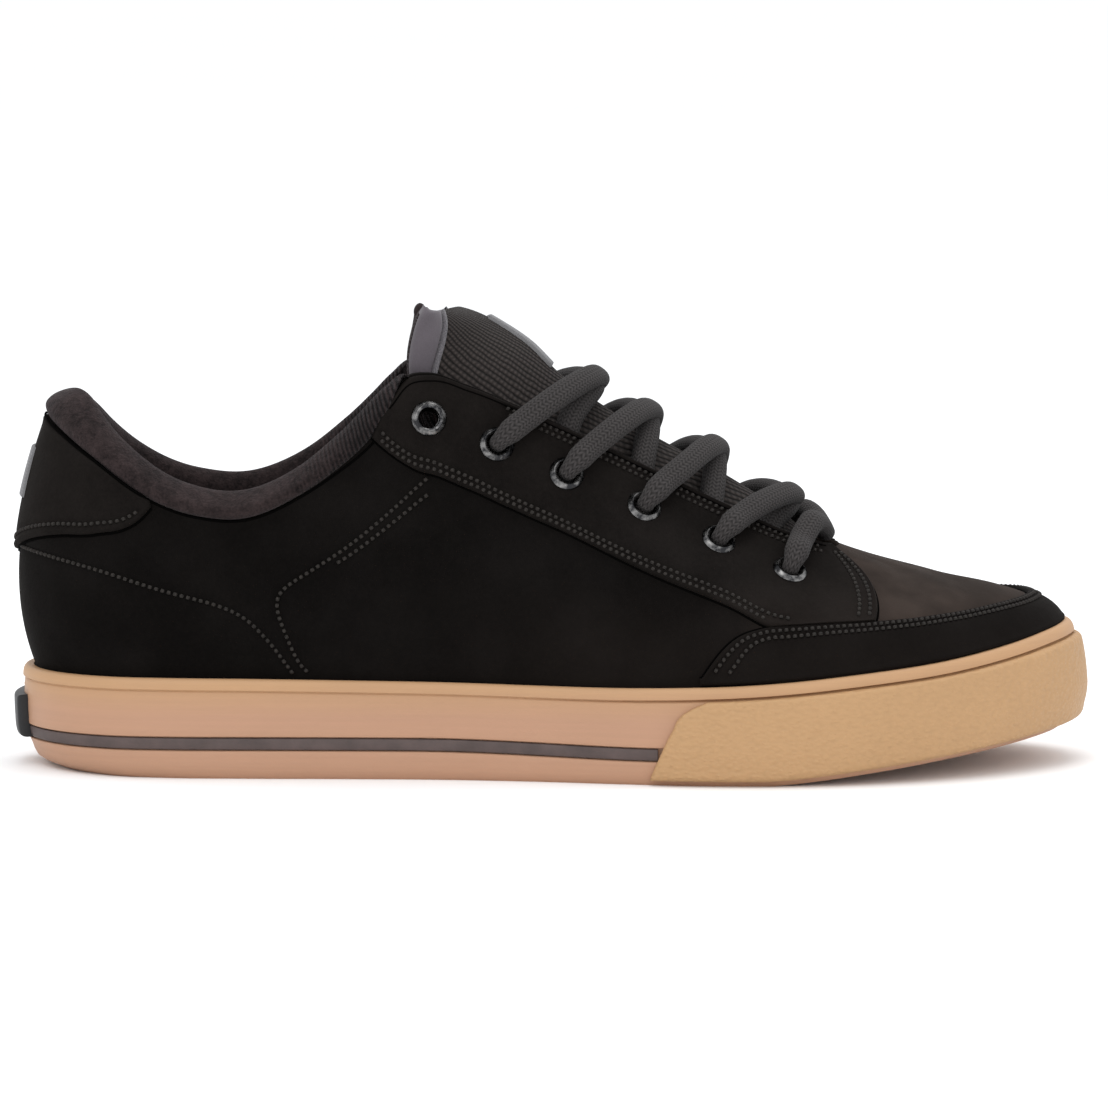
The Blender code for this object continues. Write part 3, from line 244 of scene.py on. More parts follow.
# Tongue, a row from its sewn end under the vamp to its top. crest and side are the middle and
# the lateral edge of its face: along as a share of LENGTH, height as a share of INSTEP_HEIGHT,
# half as a share of THROAT_WIDTH. wrap is 0 where it lies as a ridge, 1 where it wraps the leg.
TongueRow = namedtuple("TongueRow", "crest_along crest_height side_along side_height half wrap thick")
TONGUE_ROWS = (
    TongueRow(0.815, 0.468, 0.815, 0.442, 0.290, 0.0, 0.35),
    TongueRow(0.775, 0.508, 0.775, 0.450, 0.330, 0.0, 0.45),
    TongueRow(0.745, 0.560, 0.745, 0.450, 0.380, 0.0, 0.60),
    TongueRow(0.706, 0.645, 0.700, 0.430, 0.440, 0.0, 0.75),
    TongueRow(0.658, 0.728, 0.645, 0.490, 0.470, 0.0, 0.90),
    TongueRow(0.595, 0.820, 0.575, 0.585, 0.480, 0.1, 1.00),
    TongueRow(0.543, 0.905, 0.510, 0.670, 0.470, 0.2, 1.00),
    TongueRow(0.507, 0.978, 0.450, 0.765, 0.450, 0.4, 1.00),
    TongueRow(0.479, 1.052, 0.405, 0.865, 0.435, 0.6, 1.00),
    TongueRow(0.451, 1.103, 0.378, 0.975, 0.430, 0.8, 1.00),
    TongueRow(0.430, 1.132, 0.371, 1.075, 0.470, 0.9, 1.00),
    TongueRow(0.408, 1.146, 0.372, 1.140, 0.500, 0.9, 0.90),
)

# Upper edge of the toe overlay, as shares of the profile
EdgePoint = namedtuple("EdgePoint", "turn rise")
TOE_EDGE = (
    EdgePoint(0.606, 0.02),
    EdgePoint(0.621, 0.12),
    EdgePoint(0.640, 0.21),
    EdgePoint(0.664, 0.27),
    EdgePoint(0.700, 0.305),
    EdgePoint(0.750, 0.338),
    EdgePoint(0.811, 0.352),
    EdgePoint(0.884, 0.340),
    EdgePoint(0.950, 0.312),
    EdgePoint(1.000, 0.300),
)

# Rear edge of the toe bumper: along as a share of LENGTH at each height share of the wall
BumperPoint = namedtuple("BumperPoint", "height along")
BUMPER_REAR = (
    BumperPoint(0.07, 0.588),
    BumperPoint(0.30, 0.597),
    BumperPoint(0.55, 0.608),
    BumperPoint(0.74, 0.620),
    BumperPoint(0.84, 0.640),
)

# The six eyelets of a side, from the top: the turn of each at the throat's edge, and how far it
# lies below that edge, as a share of EYELET_SETBACK
EyeletRow = namedtuple("EyeletRow", "turn setback")
EYELETS = (
    EyeletRow(0.456, 0.80),
    EyeletRow(0.502, 1.02),
    EyeletRow(0.562, 1.08),
    EyeletRow(0.619, 1.07),
    EyeletRow(0.672, 1.13),
    EyeletRow(0.722, 1.30),
)
FIRST_LACED = 1

# Where the lace passes over the tongue's ridge, as shares of LENGTH: four crossings and the bar
LACE_CRESTS = (0.531, 0.582, 0.644, 0.712, 0.745)

X = np.array((1.0, 0.0, 0.0))
Z = np.array((0.0, 0.0, 1.0))


def column(rows, name):
    """One named column of a table, as an array."""
    return np.array([getattr(row, name) for row in rows], float)


def spline(keys, values, at):
    """Smooth curve through values at keys, each slope weighed from both neighbours."""
    keys = np.asarray(keys, float)
    values = np.asarray(values, float).reshape(len(keys), -1)
    at = np.asarray(at, float)
    step = np.diff(keys)[:, None]
    rate = np.diff(values, axis=0) / step
    slope = np.empty_like(values)
    slope[1:-1] = (step[1:] * rate[:-1] + step[:-1] * rate[1:]) / (step[:-1] + step[1:])
    slope[0] = 2 * rate[0] - slope[1]
    slope[-1] = 2 * rate[-1] - slope[-2]
    place = np.clip(at.ravel(), keys[0], keys[-1])
    low = np.clip(np.searchsorted(keys, place, side="right") - 1, 0, len(keys) - 2)
    width = step[low]
    f = (place[:, None] - keys[low][:, None]) / width
    a, b = values[low], values[low + 1]
    curve = (
        (1 + 2 * f) * (1 - f) ** 2 * a
        + f * (1 - f) ** 2 * width * slope[low]
        + f * f * (3 - 2 * f) * b
        + f * f * (f - 1) * width * slope[low + 1]
    )
    return curve.reshape(at.shape + (values.shape[1],))


def follow(rows, key, name, at):
    """Smooth curve of one column of a table over another."""
    return spline(column(rows, key), column(rows, name), at)[..., 0]


def hump(away, width):
    """1 in the middle, and falling softly to 0 at about twice the width."""
    return np.exp(-((away / width) ** 2))


def round_the_shoe(turns, lateral, medial, at):
    """Smooth closed curve at places 0 to 1 round the shoe: heel 0, toe 0.5, back along the medial."""
    keys = np.concatenate((turns / 2, 1 - turns[-2:0:-1] / 2))
    values = np.concatenate((lateral, medial[-2:0:-1]))
    back, front = slice(-4, None), slice(0, 4)
    keys = np.concatenate((keys[back] - 1, keys, keys[front] + 1))
    values = np.concatenate((values[back], values, values[front]))
    return spline(keys, values, np.mod(at, 1.0))


def unit(vectors):
    return vectors / np.maximum(np.linalg.norm(vectors, axis=-1, keepdims=True), 1e-12)


def soft_step(low, high, value):
    f = np.clip((value - low) / (high - low), 0, 1)
    return f * f * (3 - 2 * f)


def to_x(along):
    return (along - 0.5) * LENGTH


def to_along(x):
    return x / LENGTH + 0.5


def outline(at):
    """Widest line of the sole in plan, and its outward direction, at places round the shoe."""
    width = HEEL_WIDTH * column(SOLE_PLAN, "heel") + BALL_WIDTH * (1 - column(SOLE_PLAN, "heel"))
    x = to_x(column(SOLE_PLAN, "along"))
    lateral = np.stack((x, -column(SOLE_PLAN, "lateral") * width), 1)
    medial = np.stack((x, column(SOLE_PLAN, "medial") * width), 1)
    turns = column(SOLE_PLAN, "turn")
    at = np.asarray(at, float)
    step = 0.002
    point = round_the_shoe(turns, lateral, medial, at)
    ahead = round_the_shoe(turns, lateral, medial, at + step)
    run = ahead - round_the_shoe(turns, lateral, medial, at - step)
    out = unit(np.stack((run[..., 1], -run[..., 0]), -1))
    return point, out


def plan_share(name, at):
    """A column of the sole's plan round the shoe."""
    values = column(SOLE_PLAN, name)[:, None]
    return round_the_shoe(column(SOLE_PLAN, "turn"), values, values, at)[..., 0]


def bottom_height(x):
    """Height of the tread: flat from the heel to the ball, then the toe's spring."""
    r = np.clip((to_along(x) - SPRING_FROM) / (SPRING_TO - SPRING_FROM), 0, None)
    return TOE_SPRING * 1.12 * r * r / (r + 0.12)


def rim_height(x):
    return RIM_HEIGHT * follow(RIM_LINE, "along", "rim", to_along(x))


def floor_height(x):
    """Height of the cup's inner floor."""
    ball = soft_step(0.25, 0.60, to_along(x))
    return bottom_height(x) + FLOOR_AT_HEEL * (1 - ball) + FLOOR_AT_BALL * ball


def stripe_height(x):
    return STRIPE_PLACE * (1 - 0.14 * soft_step(0.38, 0.60, to_along(x)))


def wall_inset(at, share):
    """How far the sole's side stands in from its widest line, at a share of its height."""
    curl = follow(EDGE_CURL, "height", "tuck", share)
    return plan_share("lean", at) * RIM_LEAN * share**2 + plan_share("tuck", at) * EDGE_TUCK * curl


def wall_point(at, share, out=0.0):
    """Point on the sole's side, moved outwards by out."""
    at, share, out = np.broadcast_arrays(at, share, out)
    plan, normal = outline(at)
    low = bottom_height(plan[..., 0])
    z = low + share * (rim_height(plan[..., 0]) - low)
    flat = plan + normal * (out - wall_inset(at, share))[..., None]
    return np.concatenate((flat, z[..., None]), -1)


def wall_share(at, height):
    """Share of the side's height at which it has the given height."""
    x = outline(at)[0][..., 0]
    return (height - bottom_height(x)) / (rim_height(x) - bottom_height(x))


def cup_inset(at, more=0.0):
    """Plan point inside the rim: the rim's thickness in from its outer face, and more."""
    plan, normal = outline(at)
    inset = plan_share("lean", at) * RIM_LEAN + RIM_THICK + more
    return plan - normal * inset[..., None], normal


def top_edge(at):
    """Top edge of the upper's outer face round the shoe."""
    x = to_x(column(TOP_LINE, "along"))
    y = column(TOP_LINE, "side") * column(TOP_LINE, "of")
    z = column(TOP_LINE, "rise") * column(TOP_LINE, "to")
    return round_the_shoe(column(TOP_LINE, "turn"), np.stack((x, -y, z), 1), np.stack((x, y, z), 1), at)


def upper_point(at, rise):
    """Outer face of the upper: place round the shoe, and share of the profile from rim to top."""
    at, rise = np.broadcast_arrays(np.asarray(at, float), np.asarray(rise, float))
    plan, normal = cup_inset(at, GAP)
    foot = np.concatenate((plan, (rim_height(plan[..., 0]) + GAP)[..., None]), -1)
    normal = np.concatenate((normal, np.zeros_like(normal[..., :1])), -1)
    top = top_edge(at)
    shape = np.stack([column(PROFILES, name) for name in ("bulge", "lift", "reach", "drop")], 1)
    shape = round_the_shoe(column(PROFILES, "turn"), shape, shape, at)
    bulge, lift, reach, drop = (shape[..., i : i + 1] for i in range(4))
    height = (top - foot)[..., 2:]
    level = (foot - top) * (1 - Z)
    away = unit(level + FAN * normal)
    first = foot + normal * bulge * BALL_WIDTH + Z * lift * height
    second = top + away * reach * BALL_WIDTH - Z * drop * height
    s = rise[..., None]
    return (1 - s) ** 3 * foot + 3 * s * (1 - s) ** 2 * first + 3 * s * s * (1 - s) * second + s**3 * top


def upper_normal(at, rise):
    """Outward direction of the upper's face."""
    step = 0.004
    along = upper_point(at + step, rise) - upper_point(at - step, rise)
    low, high = np.clip(rise - step, 0, 1), np.clip(rise + step, 0, 1)
    up = upper_point(at, high) - upper_point(at, low)
    return unit(np.cross(along, up))


def upper_layer(at, rise, out):
    """Point over the upper's face, out metres along its outward direction."""
    return upper_point(at, rise) + upper_normal(at, rise) * np.asarray(out)[..., None]


def turn_of(at):
    """Turn of a place round the shoe, the same on both sides."""
    wrapped = np.mod(at, 1.0)
    return np.minimum(wrapped, 1 - wrapped) * 2


def distances(line):
    """Distance of each point of a line from its first, along the line."""
    return np.concatenate(([0], np.cumsum(np.linalg.norm(np.diff(line, axis=0), axis=1))))


def side_place(turn, side):
    """Place round the shoe for a turn on the lateral (-1) or medial (+1) side."""
    return turn / 2 if side < 0 else 1 - np.asarray(turn) / 2


def eyelet_frame(index, side):
    """Centre of an eyelet on the upper's face, and its outward direction."""
    at = side_place(EYELETS[index].turn, side)
    rises = np.linspace(1, 0.3, 71)
    line = upper_point(np.full_like(rises, at), rises)
    run = distances(line)
    rise = np.interp(EYELET_SETBACK * EYELETS[index].setback, run, rises)
    return upper_point(at, rise), upper_normal(np.array(at), np.array(rise))


def turned_ring(centre, normal, profile, sides):
    """Closed ring turned about normal through centre, from (radius, height) points."""
    turn = Vector(normal).to_track_quat("Z", "Y").to_matrix()
    sections = []
    for i in range(sides):
        angle = 2 * math.pi * i / sides
        spoke = np.array(turn @ Vector((math.cos(angle), math.sin(angle), 0)))
        sections.append([centre + spoke * r + normal * h for r, h in profile])
    return np.array(sections)


def tongue_point(up, across):
    """Face of the tongue: share of its length from the sewn end, and -1 to 1 across it."""
    up, across = np.broadcast_arrays(np.asarray(up, float), np.asarray(across, float))
    keys = np.linspace(0, 1, len(TONGUE_ROWS))
    names = ("crest_along", "crest_height", "side_along", "side_height", "half", "wrap")
    values = spline(keys, np.stack([column(TONGUE_ROWS, name) for name in names], 1), up)
    crest_x, crest_z, side_x, side_z, half, wrap = (values[..., i] for i in range(6))
    angle = across * math.pi / 2
    ridge = np.abs(np.sin(angle)) ** 1.6
    bend = (1 - wrap) * ridge + wrap * (1 - np.cos(angle))
    x = to_x(crest_x + (side_x - crest_x) * bend)
    z = INSTEP_HEIGHT * (crest_z + (side_z - crest_z) * bend)
    return np.stack((x, THROAT_WIDTH * half * np.sin(angle), z), -1)


def tongue_normal(up, across):
    step = 0.01
    low, high = np.clip(up - step, 0, 1), np.clip(up + step, 0, 1)
    length = tongue_point(high, across) - tongue_point(low, across)
    left, right = np.clip(across - step, -1, 1), np.clip(across + step, -1, 1)
    width = tongue_point(up, right) - tongue_point(up, left)
    return unit(np.cross(width, length))


def tongue_thickness(up):
    keys = np.linspace(0, 1, len(TONGUE_ROWS))
    return TONGUE_THICK * spline(keys, column(TONGUE_ROWS, "thick"), up)[..., 0]


# Fineness of the meshes, and how near two points are when they become one
SOLE_STEPS = 640
UPPER_STEPS = 560
UPPER_ROWS = 76
MERGE = 0.00001

# Chevron grooves of the tread, and the two fine ribs round the heel's wall
TREAD_PITCH = 0.0075
TREAD_DEPTH = 0.0017
RIB_HEIGHTS = (0.0200, 0.0222)
RIB_DEPTH = 0.00013
RIB_WIDTH = 0.0005

# Seams and thread
STITCH_PITCH = 0.0018
THREAD_THICK = 0.00084
SEAM_FROM_EDGE = 0.0017
SEAM_APART = 0.0022
SEAM_SINK = 0.00042
HEM_LIFT = 0.0003

# How high the layers lie: what stands on the upper, and what stands on a panel
ON_UPPER = 0.0002
ON_PANEL = LAYER + ON_UPPER

# Rows of stitches on the eyestay, as shares of its length: where the lower ones start, where the
# upper ones start and where both end. The cover is how far above the toe overlay's edge they
# stop, as a share of the profile, and the reach turns a distance into a share at the front.
LOW_ROWS_FROM = 0.03
HIGH_ROWS_FROM = 0.53
ROWS_TO = 0.955
ROWS_COVER = 0.035
FRONT_REACH = 0.170

# Turns at which the rows of the toe overlay start and the row of the heel overlay ends
TOE_ROWS_FROM = 0.612
HEEL_ROW_TO = 0.182

# Height of the low parts of the upper, to turn a distance into a share of the profile
LOW_WALL = 0.062

# The lace's oval section, and how narrow it is where an eyelet holds it
LACE_OVAL_WIDTH = 0.0069
LACE_OVAL_THICK = 0.0052
LACE_SQUEEZE = 0.70

# How far towards the toe each strand has run where it passes over the throat's edge
STRAND_LEADS = (0.053, 0.040, 0.038, 0.045)

# The tongue's length and half width as sewn, and how round its edges are
TONGUE_LONG = 0.125
TONGUE_HALF = 0.040
TONGUE_ROUND = 0.0042

# Lift of the tongue's lateral corner, how much the medial one drops as a share of that, and how
# far the sides lean back towards their top
TONGUE_LIFT = 0.0019
TONGUE_DROP = 1.1
TONGUE_LEAN = 0.0034

# The label starts this far to the lateral side of the ridge, as a share of LABEL_ACROSS
LABEL_FROM = 0.42

# Share of the tongue's length from which its sides show their smooth lining
LINED_FROM = 0.80

# How far the collar's roll laps over the upper near its front ends
ROLL_LAP = 0.0030

# Eyestay: each row joins a place on its lower edge to a place on the throat's edge. Both are
# turns, and low_rise is the share of the wall's profile at the lower edge. The rear corner runs
# on under the collar's roll, and the front one under the toe overlay.
StayRow = namedtuple("StayRow", "low_turn low_rise top_turn")
SEWN_STAY = (
    StayRow(0.413, 0.960, 0.425),
    StayRow(0.429, 0.800, 0.437),
    StayRow(0.444, 0.700, 0.447),
    StayRow(0.465, 0.630, 0.463),
    StayRow(0.501, 0.588, 0.490),
    StayRow(0.542, 0.548, 0.535),
    StayRow(0.591, 0.470, 0.600),
    StayRow(0.645, 0.385, 0.677),
    StayRow(0.684, 0.265, 0.740),
    StayRow(0.759, 0.300, 0.847),
)

# Lower edge of the heel overlay, which runs up to the collar's seam
SEWN_HEEL = (
    EdgePoint(0.000, 0.445),
    EdgePoint(0.064, 0.535),
    EdgePoint(0.094, 0.575),
    EdgePoint(0.134, 0.638),
    EdgePoint(0.161, 0.723),
    EdgePoint(0.181, 0.835),
    EdgePoint(0.197, 0.955),
)

# Half the way round the upper and the height of its wall, to measure its troughs in metres
HALF_ROUND = 0.34
WALL_DEPTH = 0.07

# Soft troughs of the upper, from one place to another. turn and rise are as in the tables above,
# width is the trough's half width and depth how far it sinks, both in metres.
Crease = namedtuple("Crease", "turn rise to_turn to_rise width depth")
CREASES = (
    Crease(0.800, 0.42, 0.930, 0.80, 0.0050, 0.00055),
    Crease(0.850, 0.36, 0.985, 0.66, 0.0060, 0.00045),
    Crease(0.300, 0.28, 0.400, 0.58, 0.0150, 0.00090),
    Crease(0.540, 0.10, 0.640, 0.34, 0.0110, 0.00060),
    Crease(0.150, 0.14, 0.240, 0.34, 0.0120, 0.00050),
)

# Rows of stitches over the quarter, as places on the upper
SeamPoint = namedtuple("SeamPoint", "turn rise")
COUNTER_SEAM = (
    SeamPoint(0.000, 0.470),
    SeamPoint(0.095, 0.475),
    SeamPoint(0.149, 0.474),
    SeamPoint(0.190, 0.470),
    SeamPoint(0.230, 0.445),
    SeamPoint(0.253, 0.375),
    SeamPoint(0.266, 0.240),
    SeamPoint(0.275, 0.110),
    SeamPoint(0.282, 0.020),
)
QUARTER_SEAM = (
    SeamPoint(0.442, 0.696),
    SeamPoint(0.426, 0.698),
    SeamPoint(0.405, 0.693),
    SeamPoint(0.378, 0.677),
    SeamPoint(0.352, 0.658),
    SeamPoint(0.331, 0.632),
    SeamPoint(0.310, 0.590),
    SeamPoint(0.297, 0.545),
    SeamPoint(0.289, 0.488),
    SeamPoint(0.284, 0.395),
    SeamPoint(0.283, 0.255),
    SeamPoint(0.286, 0.118),
    SeamPoint(0.294, 0.033),
)
QUARTER_TWIN = tuple(SeamPoint(turn - 0.004, rise - 0.040) for turn, rise in QUARTER_SEAM[:5])


# The photograph's view: a long lens, far off and a little above the shoe
CAMERA_PLACE = (0.0004, -1.6, 0.224)
CAMERA_TARGET = (0.0004, 0, 0.058)
CAMERA_LENS = 187.2


class Value:
    """One socket of a finish. Arithmetic on it adds Math nodes."""

    def __init__(self, finish, socket):
        self.finish = finish
        self.socket = socket

    def math(self, operation, *terms):
        made = self.finish.node("ShaderNodeMath", {"operation": operation}, dict(enumerate(terms)))
        return Value(self.finish, made.outputs[0])

    def __add__(self, other):
        return self.math("ADD", self, other)

    __radd__ = __add__

    def __sub__(self, other):
        return self.math("SUBTRACT", self, other)

    def __rsub__(self, other):
        return self.math("SUBTRACT", other, self)

    def __mul__(self, other):
        return self.math("MULTIPLY", self, other)

    __rmul__ = __mul__

    def __truediv__(self, other):
        return self.math("DIVIDE", self, other)

    def __pow__(self, other):
        return self.math("POWER", self, other)

    def sine(self):
        return self.math("SINE", self)

    def size(self):
        return self.math("ABSOLUTE", self)

    def fraction(self):
        return self.math("FRACT", self)

    def clamped(self):
        return self.math("MINIMUM", self.math("MAXIMUM", self, 0.0), 1.0)

    def between(self, low, high):
        """0 below low, 1 above high, and a straight line from one to the other."""
        return ((self - low) / (high - low)).clamped()


class Finish:
    """A material of the shoe. One method adds any node, and the others are short forms of it."""

    def __init__(self, name, colour, roughness, metallic=0.0, **fixed):
        self.material = bpy.data.materials.new(name)
        self.material.use_nodes = True
        self.tree = self.material.node_tree
        self.shader = self.tree.nodes["Principled BSDF"]
        self.shader.inputs["Base Color"].default_value = (*colour, 1)
        self.shader.inputs["Roughness"].default_value = roughness
        self.shader.inputs["Metallic"].default_value = metallic
        self.material.diffuse_color = (*colour, 1)
        for socket, value in fixed.items():
            self.shader.inputs[socket.replace("_", " ")].default_value = value

    def node(self, kind, settings=None, inputs=None):
        made = self.tree.nodes.new(kind)
        for name, value in (settings or {}).items():
            setattr(made, name, value)
        for name, value in (inputs or {}).items():
            self.feed(made.inputs[name], value)
        return made

    def feed(self, socket, value):
        if isinstance(value, Value):
            self.tree.links.new(value.socket, socket)
        else:
            socket.default_value = value

    def place(self):
        """Place on the object, in metres."""
        return Value(self, self.node("ShaderNodeTexCoord").outputs["Object"])

    def run(self):
        """Distance along and across a woven piece, in metres."""
        parts = self.node("ShaderNodeSeparateXYZ", {}, {0: self.woven()})
        return Value(self, parts.outputs[0]), Value(self, parts.outputs[1])

    def woven(self):
        return Value(self, self.node("ShaderNodeUVMap", {"uv_map": "weave"}).outputs[0])

    def height(self):
        parts = self.node("ShaderNodeSeparateXYZ", {}, {0: self.place()})
        return Value(self, parts.outputs[2])

    def along(self):
        parts = self.node("ShaderNodeSeparateXYZ", {}, {0: self.place()})
        return Value(self, parts.outputs[0])

    def stretched(self, scale):
        """Place on the object, with each axis scaled on its own."""
        made = self.node("ShaderNodeVectorMath", {"operation": "MULTIPLY"}, {0: self.place(), 1: scale})
        return Value(self, made.outputs[0])

    def noise(self, scale, detail=2.0, rough=0.5, at=None):
        inputs = {"Vector": at or self.place(), "Scale": scale, "Detail": detail, "Roughness": rough}
        return Value(self, self.node("ShaderNodeTexNoise", {}, inputs).outputs[0])

    def pebbles(self, scale, at=None):
        inputs = {"Vector": at or self.place(), "Scale": scale}
        return Value(self, self.node("ShaderNodeTexVoronoi", {"feature": "SMOOTH_F1"}, inputs).outputs[0])

    def blend(self, share, first, second):
        first = first if isinstance(first, Value) else (*first, 1)
        second = second if isinstance(second, Value) else (*second, 1)
        made = self.node("ShaderNodeMix", {"data_type": "RGBA"}, {0: share, 6: first, 7: second})
        return Value(self, made.outputs[2])

    def paint(self, colour):
        self.feed(self.shader.inputs["Base Color"], colour)

    def dull(self, roughness):
        self.feed(self.shader.inputs["Roughness"], roughness)

    def emboss(self, height_mm, strength=1.0):
        """Bump from a height in millimetres."""
        made = self.node("ShaderNodeBump", {}, {"Strength": strength, "Distance": 0.001, "Height": height_mm})
        self.feed(self.shader.inputs["Normal"], Value(self, made.outputs[0]))


def nubuck_finish(name, shade, vamp_highlight):
    """Near-black buffed leather: short nap, faint rub marks, and a painted brown highlight over the vamp, as
    strong as the given share.
    """
    colour = tuple(shade * c for c in shoe().nubuck_colour)
    made = Finish(name, colour, 0.85, Sheen_Weight=0.012, Sheen_Roughness=0.4, Specular_IOR_Level=0.05)
    made.shader.inputs["Sheen Tint"].default_value = (1.0, 0.86, 0.74, 1)
    cloud = made.noise(34.0, 4.0, 0.6)
    nap = made.noise(900.0, 3.0, 0.7)
    grain = made.noise(3800.0, 2.0, 0.6)
    share = (cloud.between(0.36, 0.68) * 0.55 + nap.between(0.35, 0.7) * 0.3 + grain * 0.15).clamped()
    leather = made.blend(share, tuple(0.62 * c for c in colour), tuple(1.7 * c for c in colour))
    # Painted highlight: from x = 0.05 forwards the vamp is painted browner and lighter, where light falls on
    # its top.
    vamp = made.noise(46.0, 3.0, 0.6).between(0.40, 0.62) * 0.4 + 0.6
    vamp = vamp * made.along().between(0.050, 0.078) * vamp_highlight
    # Lighter low on the upper, below heights of 0.036 to 0.056 and from x = -0.035 forwards: a slight blend
    # towards the same colour.
    low = (1.0 - made.height().between(0.036, 0.056)) * made.along().between(-0.035, 0.010) * 0.08
    # Colour of the painted highlight.
    highlight_brown = (colour[0] * 12.5, colour[1] * 11.4, colour[2] * 10.8)
    made.paint(made.blend((vamp + low).clamped(), leather, highlight_brown))
    made.dull(0.92 - cloud.between(0.4, 0.75) * 0.16)
    made.emboss(nap * 0.07 + grain * 0.05 + cloud * 0.25)
    return made.material


def plush_finish():
    """Dark grey-brown plush of the collar's roll and of the lining."""
    colour = tuple(shoe().lining_colour)
    made = Finish("plush", colour, 0.95, Sheen_Weight=0.06, Sheen_Roughness=0.5, Specular_IOR_Level=0.08)
    made.shader.inputs["Sheen Tint"].default_value = (0.95, 0.88, 0.90, 1)
    pile = made.noise(1500.0, 3.0, 0.7)
    cloud = made.noise(70.0, 4.0, 0.65)
    along, around = made.run()
    fold_pitch = 0.0012
    folds = ((along + cloud * fold_pitch) * (2 * math.pi / fold_pitch)).sine() * 0.5 + 0.5
    gathered = folds * made.along().between(-0.074, -0.050) * around.between(0.0001, 0.0006)
    tuft = made.noise(420.0, 3.0, 0.7).between(0.38, 0.62)
    share = pile.between(0.3, 0.72) * 0.45 + tuft * 0.3 + cloud.between(0.38, 0.64) * 0.3
    share = (share - gathered * 0.60).clamped()
    tips = (2.25 * colour[0], 1.95 * colour[1], 1.92 * colour[2])
    made.paint(made.blend(share, tuple(0.22 * c for c in colour), tips))
    made.emboss(pile * 0.3 + tuft * 0.12 + cloud * 0.3 - gathered * 0.7)
    return made.material


def shade_finish():
    """Near-black finish that stands in for shade: painted shade for the cords deep in the seams and inside
    the eyelets' bores.
    """
    made = Finish("seam_shade", (0.0012, 0.001, 0.001), 0.95, Specular_IOR_Level=0.02)
    twist = made.noise(2600.0, 2.0, 0.6)
    made.paint(made.blend(twist, (0.0007, 0.0006, 0.0006), (0.002, 0.0017, 0.0016)))
    made.emboss(twist * 0.05)
    return made.material


def smooth_lining_finish():
    """Smooth grey-mauve textile of the tongue's padded edge."""
    made = Finish("edge_lining", (0.062, 0.055, 0.062), 0.8, Sheen_Weight=0.2, Specular_IOR_Level=0.25)
    weave = made.noise(2600.0, 2.0, 0.5)
    cloud = made.noise(120.0, 3.0, 0.5)
    share = (weave * 0.5 + cloud * 0.5).clamped()
    made.paint(made.blend(share, (0.055, 0.047, 0.054), (0.115, 0.099, 0.112)))
    made.emboss(weave * 0.08 + cloud * 0.12)
    return made.material


def ribbed_mesh_finish():
    """Brown-black mesh of the tongue's face: slanting ribs, crossed by fine threads."""
    made = Finish("ribbed_mesh", (0.02, 0.017, 0.015), 0.8, Sheen_Weight=0.02, Specular_IOR_Level=0.12)
    along, across = made.run()
    wobble = made.noise(260.0, 2.0, 0.5) * 0.0009
    rib_pitch, bead_pitch, slant, level = 0.00145, 0.0012, 0.30, 0.954
    turn = 2 * math.pi
    ribs = ((along * slant + across * level + wobble) * (turn / rib_pitch)).sine() * 0.5 + 0.5
    beads = ((across * slant - along * level + wobble) * (turn / bead_pitch)).sine() * 0.5 + 0.5
    height = (ribs ** 0.7) * (beads * 0.5 + 0.5)
    fluff = made.noise(2400.0, 2.0, 0.6)
    share = (height * 0.85 + fluff * 0.3).between(0.12, 0.95)
    made.paint(made.blend(share, (0.0035, 0.0029, 0.0027), (0.044, 0.036, 0.033)))
    made.emboss(height * 0.34 + fluff * 0.06)
    return made.material


def lace_finish():
    """Charcoal lace, plaited in narrow columns of slanting stitches."""
    made = Finish("lace_weave", (0.03, 0.028, 0.027), 0.85, Sheen_Weight=0.03, Specular_IOR_Level=0.12)
    along, across = made.run()
    plait_width, plait_slant, row_pitch = 0.0016, 0.0009, 0.00125
    plait = (across / plait_width).fraction()
    slant = (plait - 0.5).size() * 2.0
    rows = ((along + slant * plait_slant) * (2 * math.pi / row_pitch)).sine() * 0.5 + 0.5
    edge = (1.0 - (slant - 0.5).size() * 2.0) ** 0.5
    height = rows * 0.55 + edge * 0.45
    fluff = made.noise(2200.0, 2.0, 0.6)
    share = (height * 0.75 + fluff * 0.35).between(0.15, 0.95)
    made.paint(made.blend(share, (0.007, 0.0062, 0.006), (0.052, 0.047, 0.046)))
    made.emboss(height * 0.17 + fluff * 0.06)
    return made.material


def gum_finish():
    """Tan gum rubber: warmer under the rim, rosier lower down, with faint streaks along it."""
    colour = tuple(shoe().gum_colour)
    rosy = (colour[0] * 1.05, colour[1] * 0.99, colour[2] * 1.02)
    made = Finish("gum", colour, 0.5, Specular_IOR_Level=0.4)
    streak = made.noise(1.0, 4.0, 0.6, made.stretched((16.0, 16.0, 900.0)))
    cloud = made.noise(28.0, 4.0, 0.6)
    warm = made.height().between(0.017, 0.026)
    base = made.blend(warm, rosy, (colour[0] * 1.07, colour[1] * 1.05, colour[2] * 0.86))
    mark = (streak.between(0.3, 0.75) * 0.55 + cloud.between(0.3, 0.7) * 0.45).clamped()
    made.paint(made.blend(mark * 0.32, base, tuple(0.74 * c for c in colour)))
    made.dull(0.46 + cloud * 0.14)
    made.emboss(streak * 0.09 + made.noise(1600.0, 2.0, 0.5) * 0.03)
    return made.material


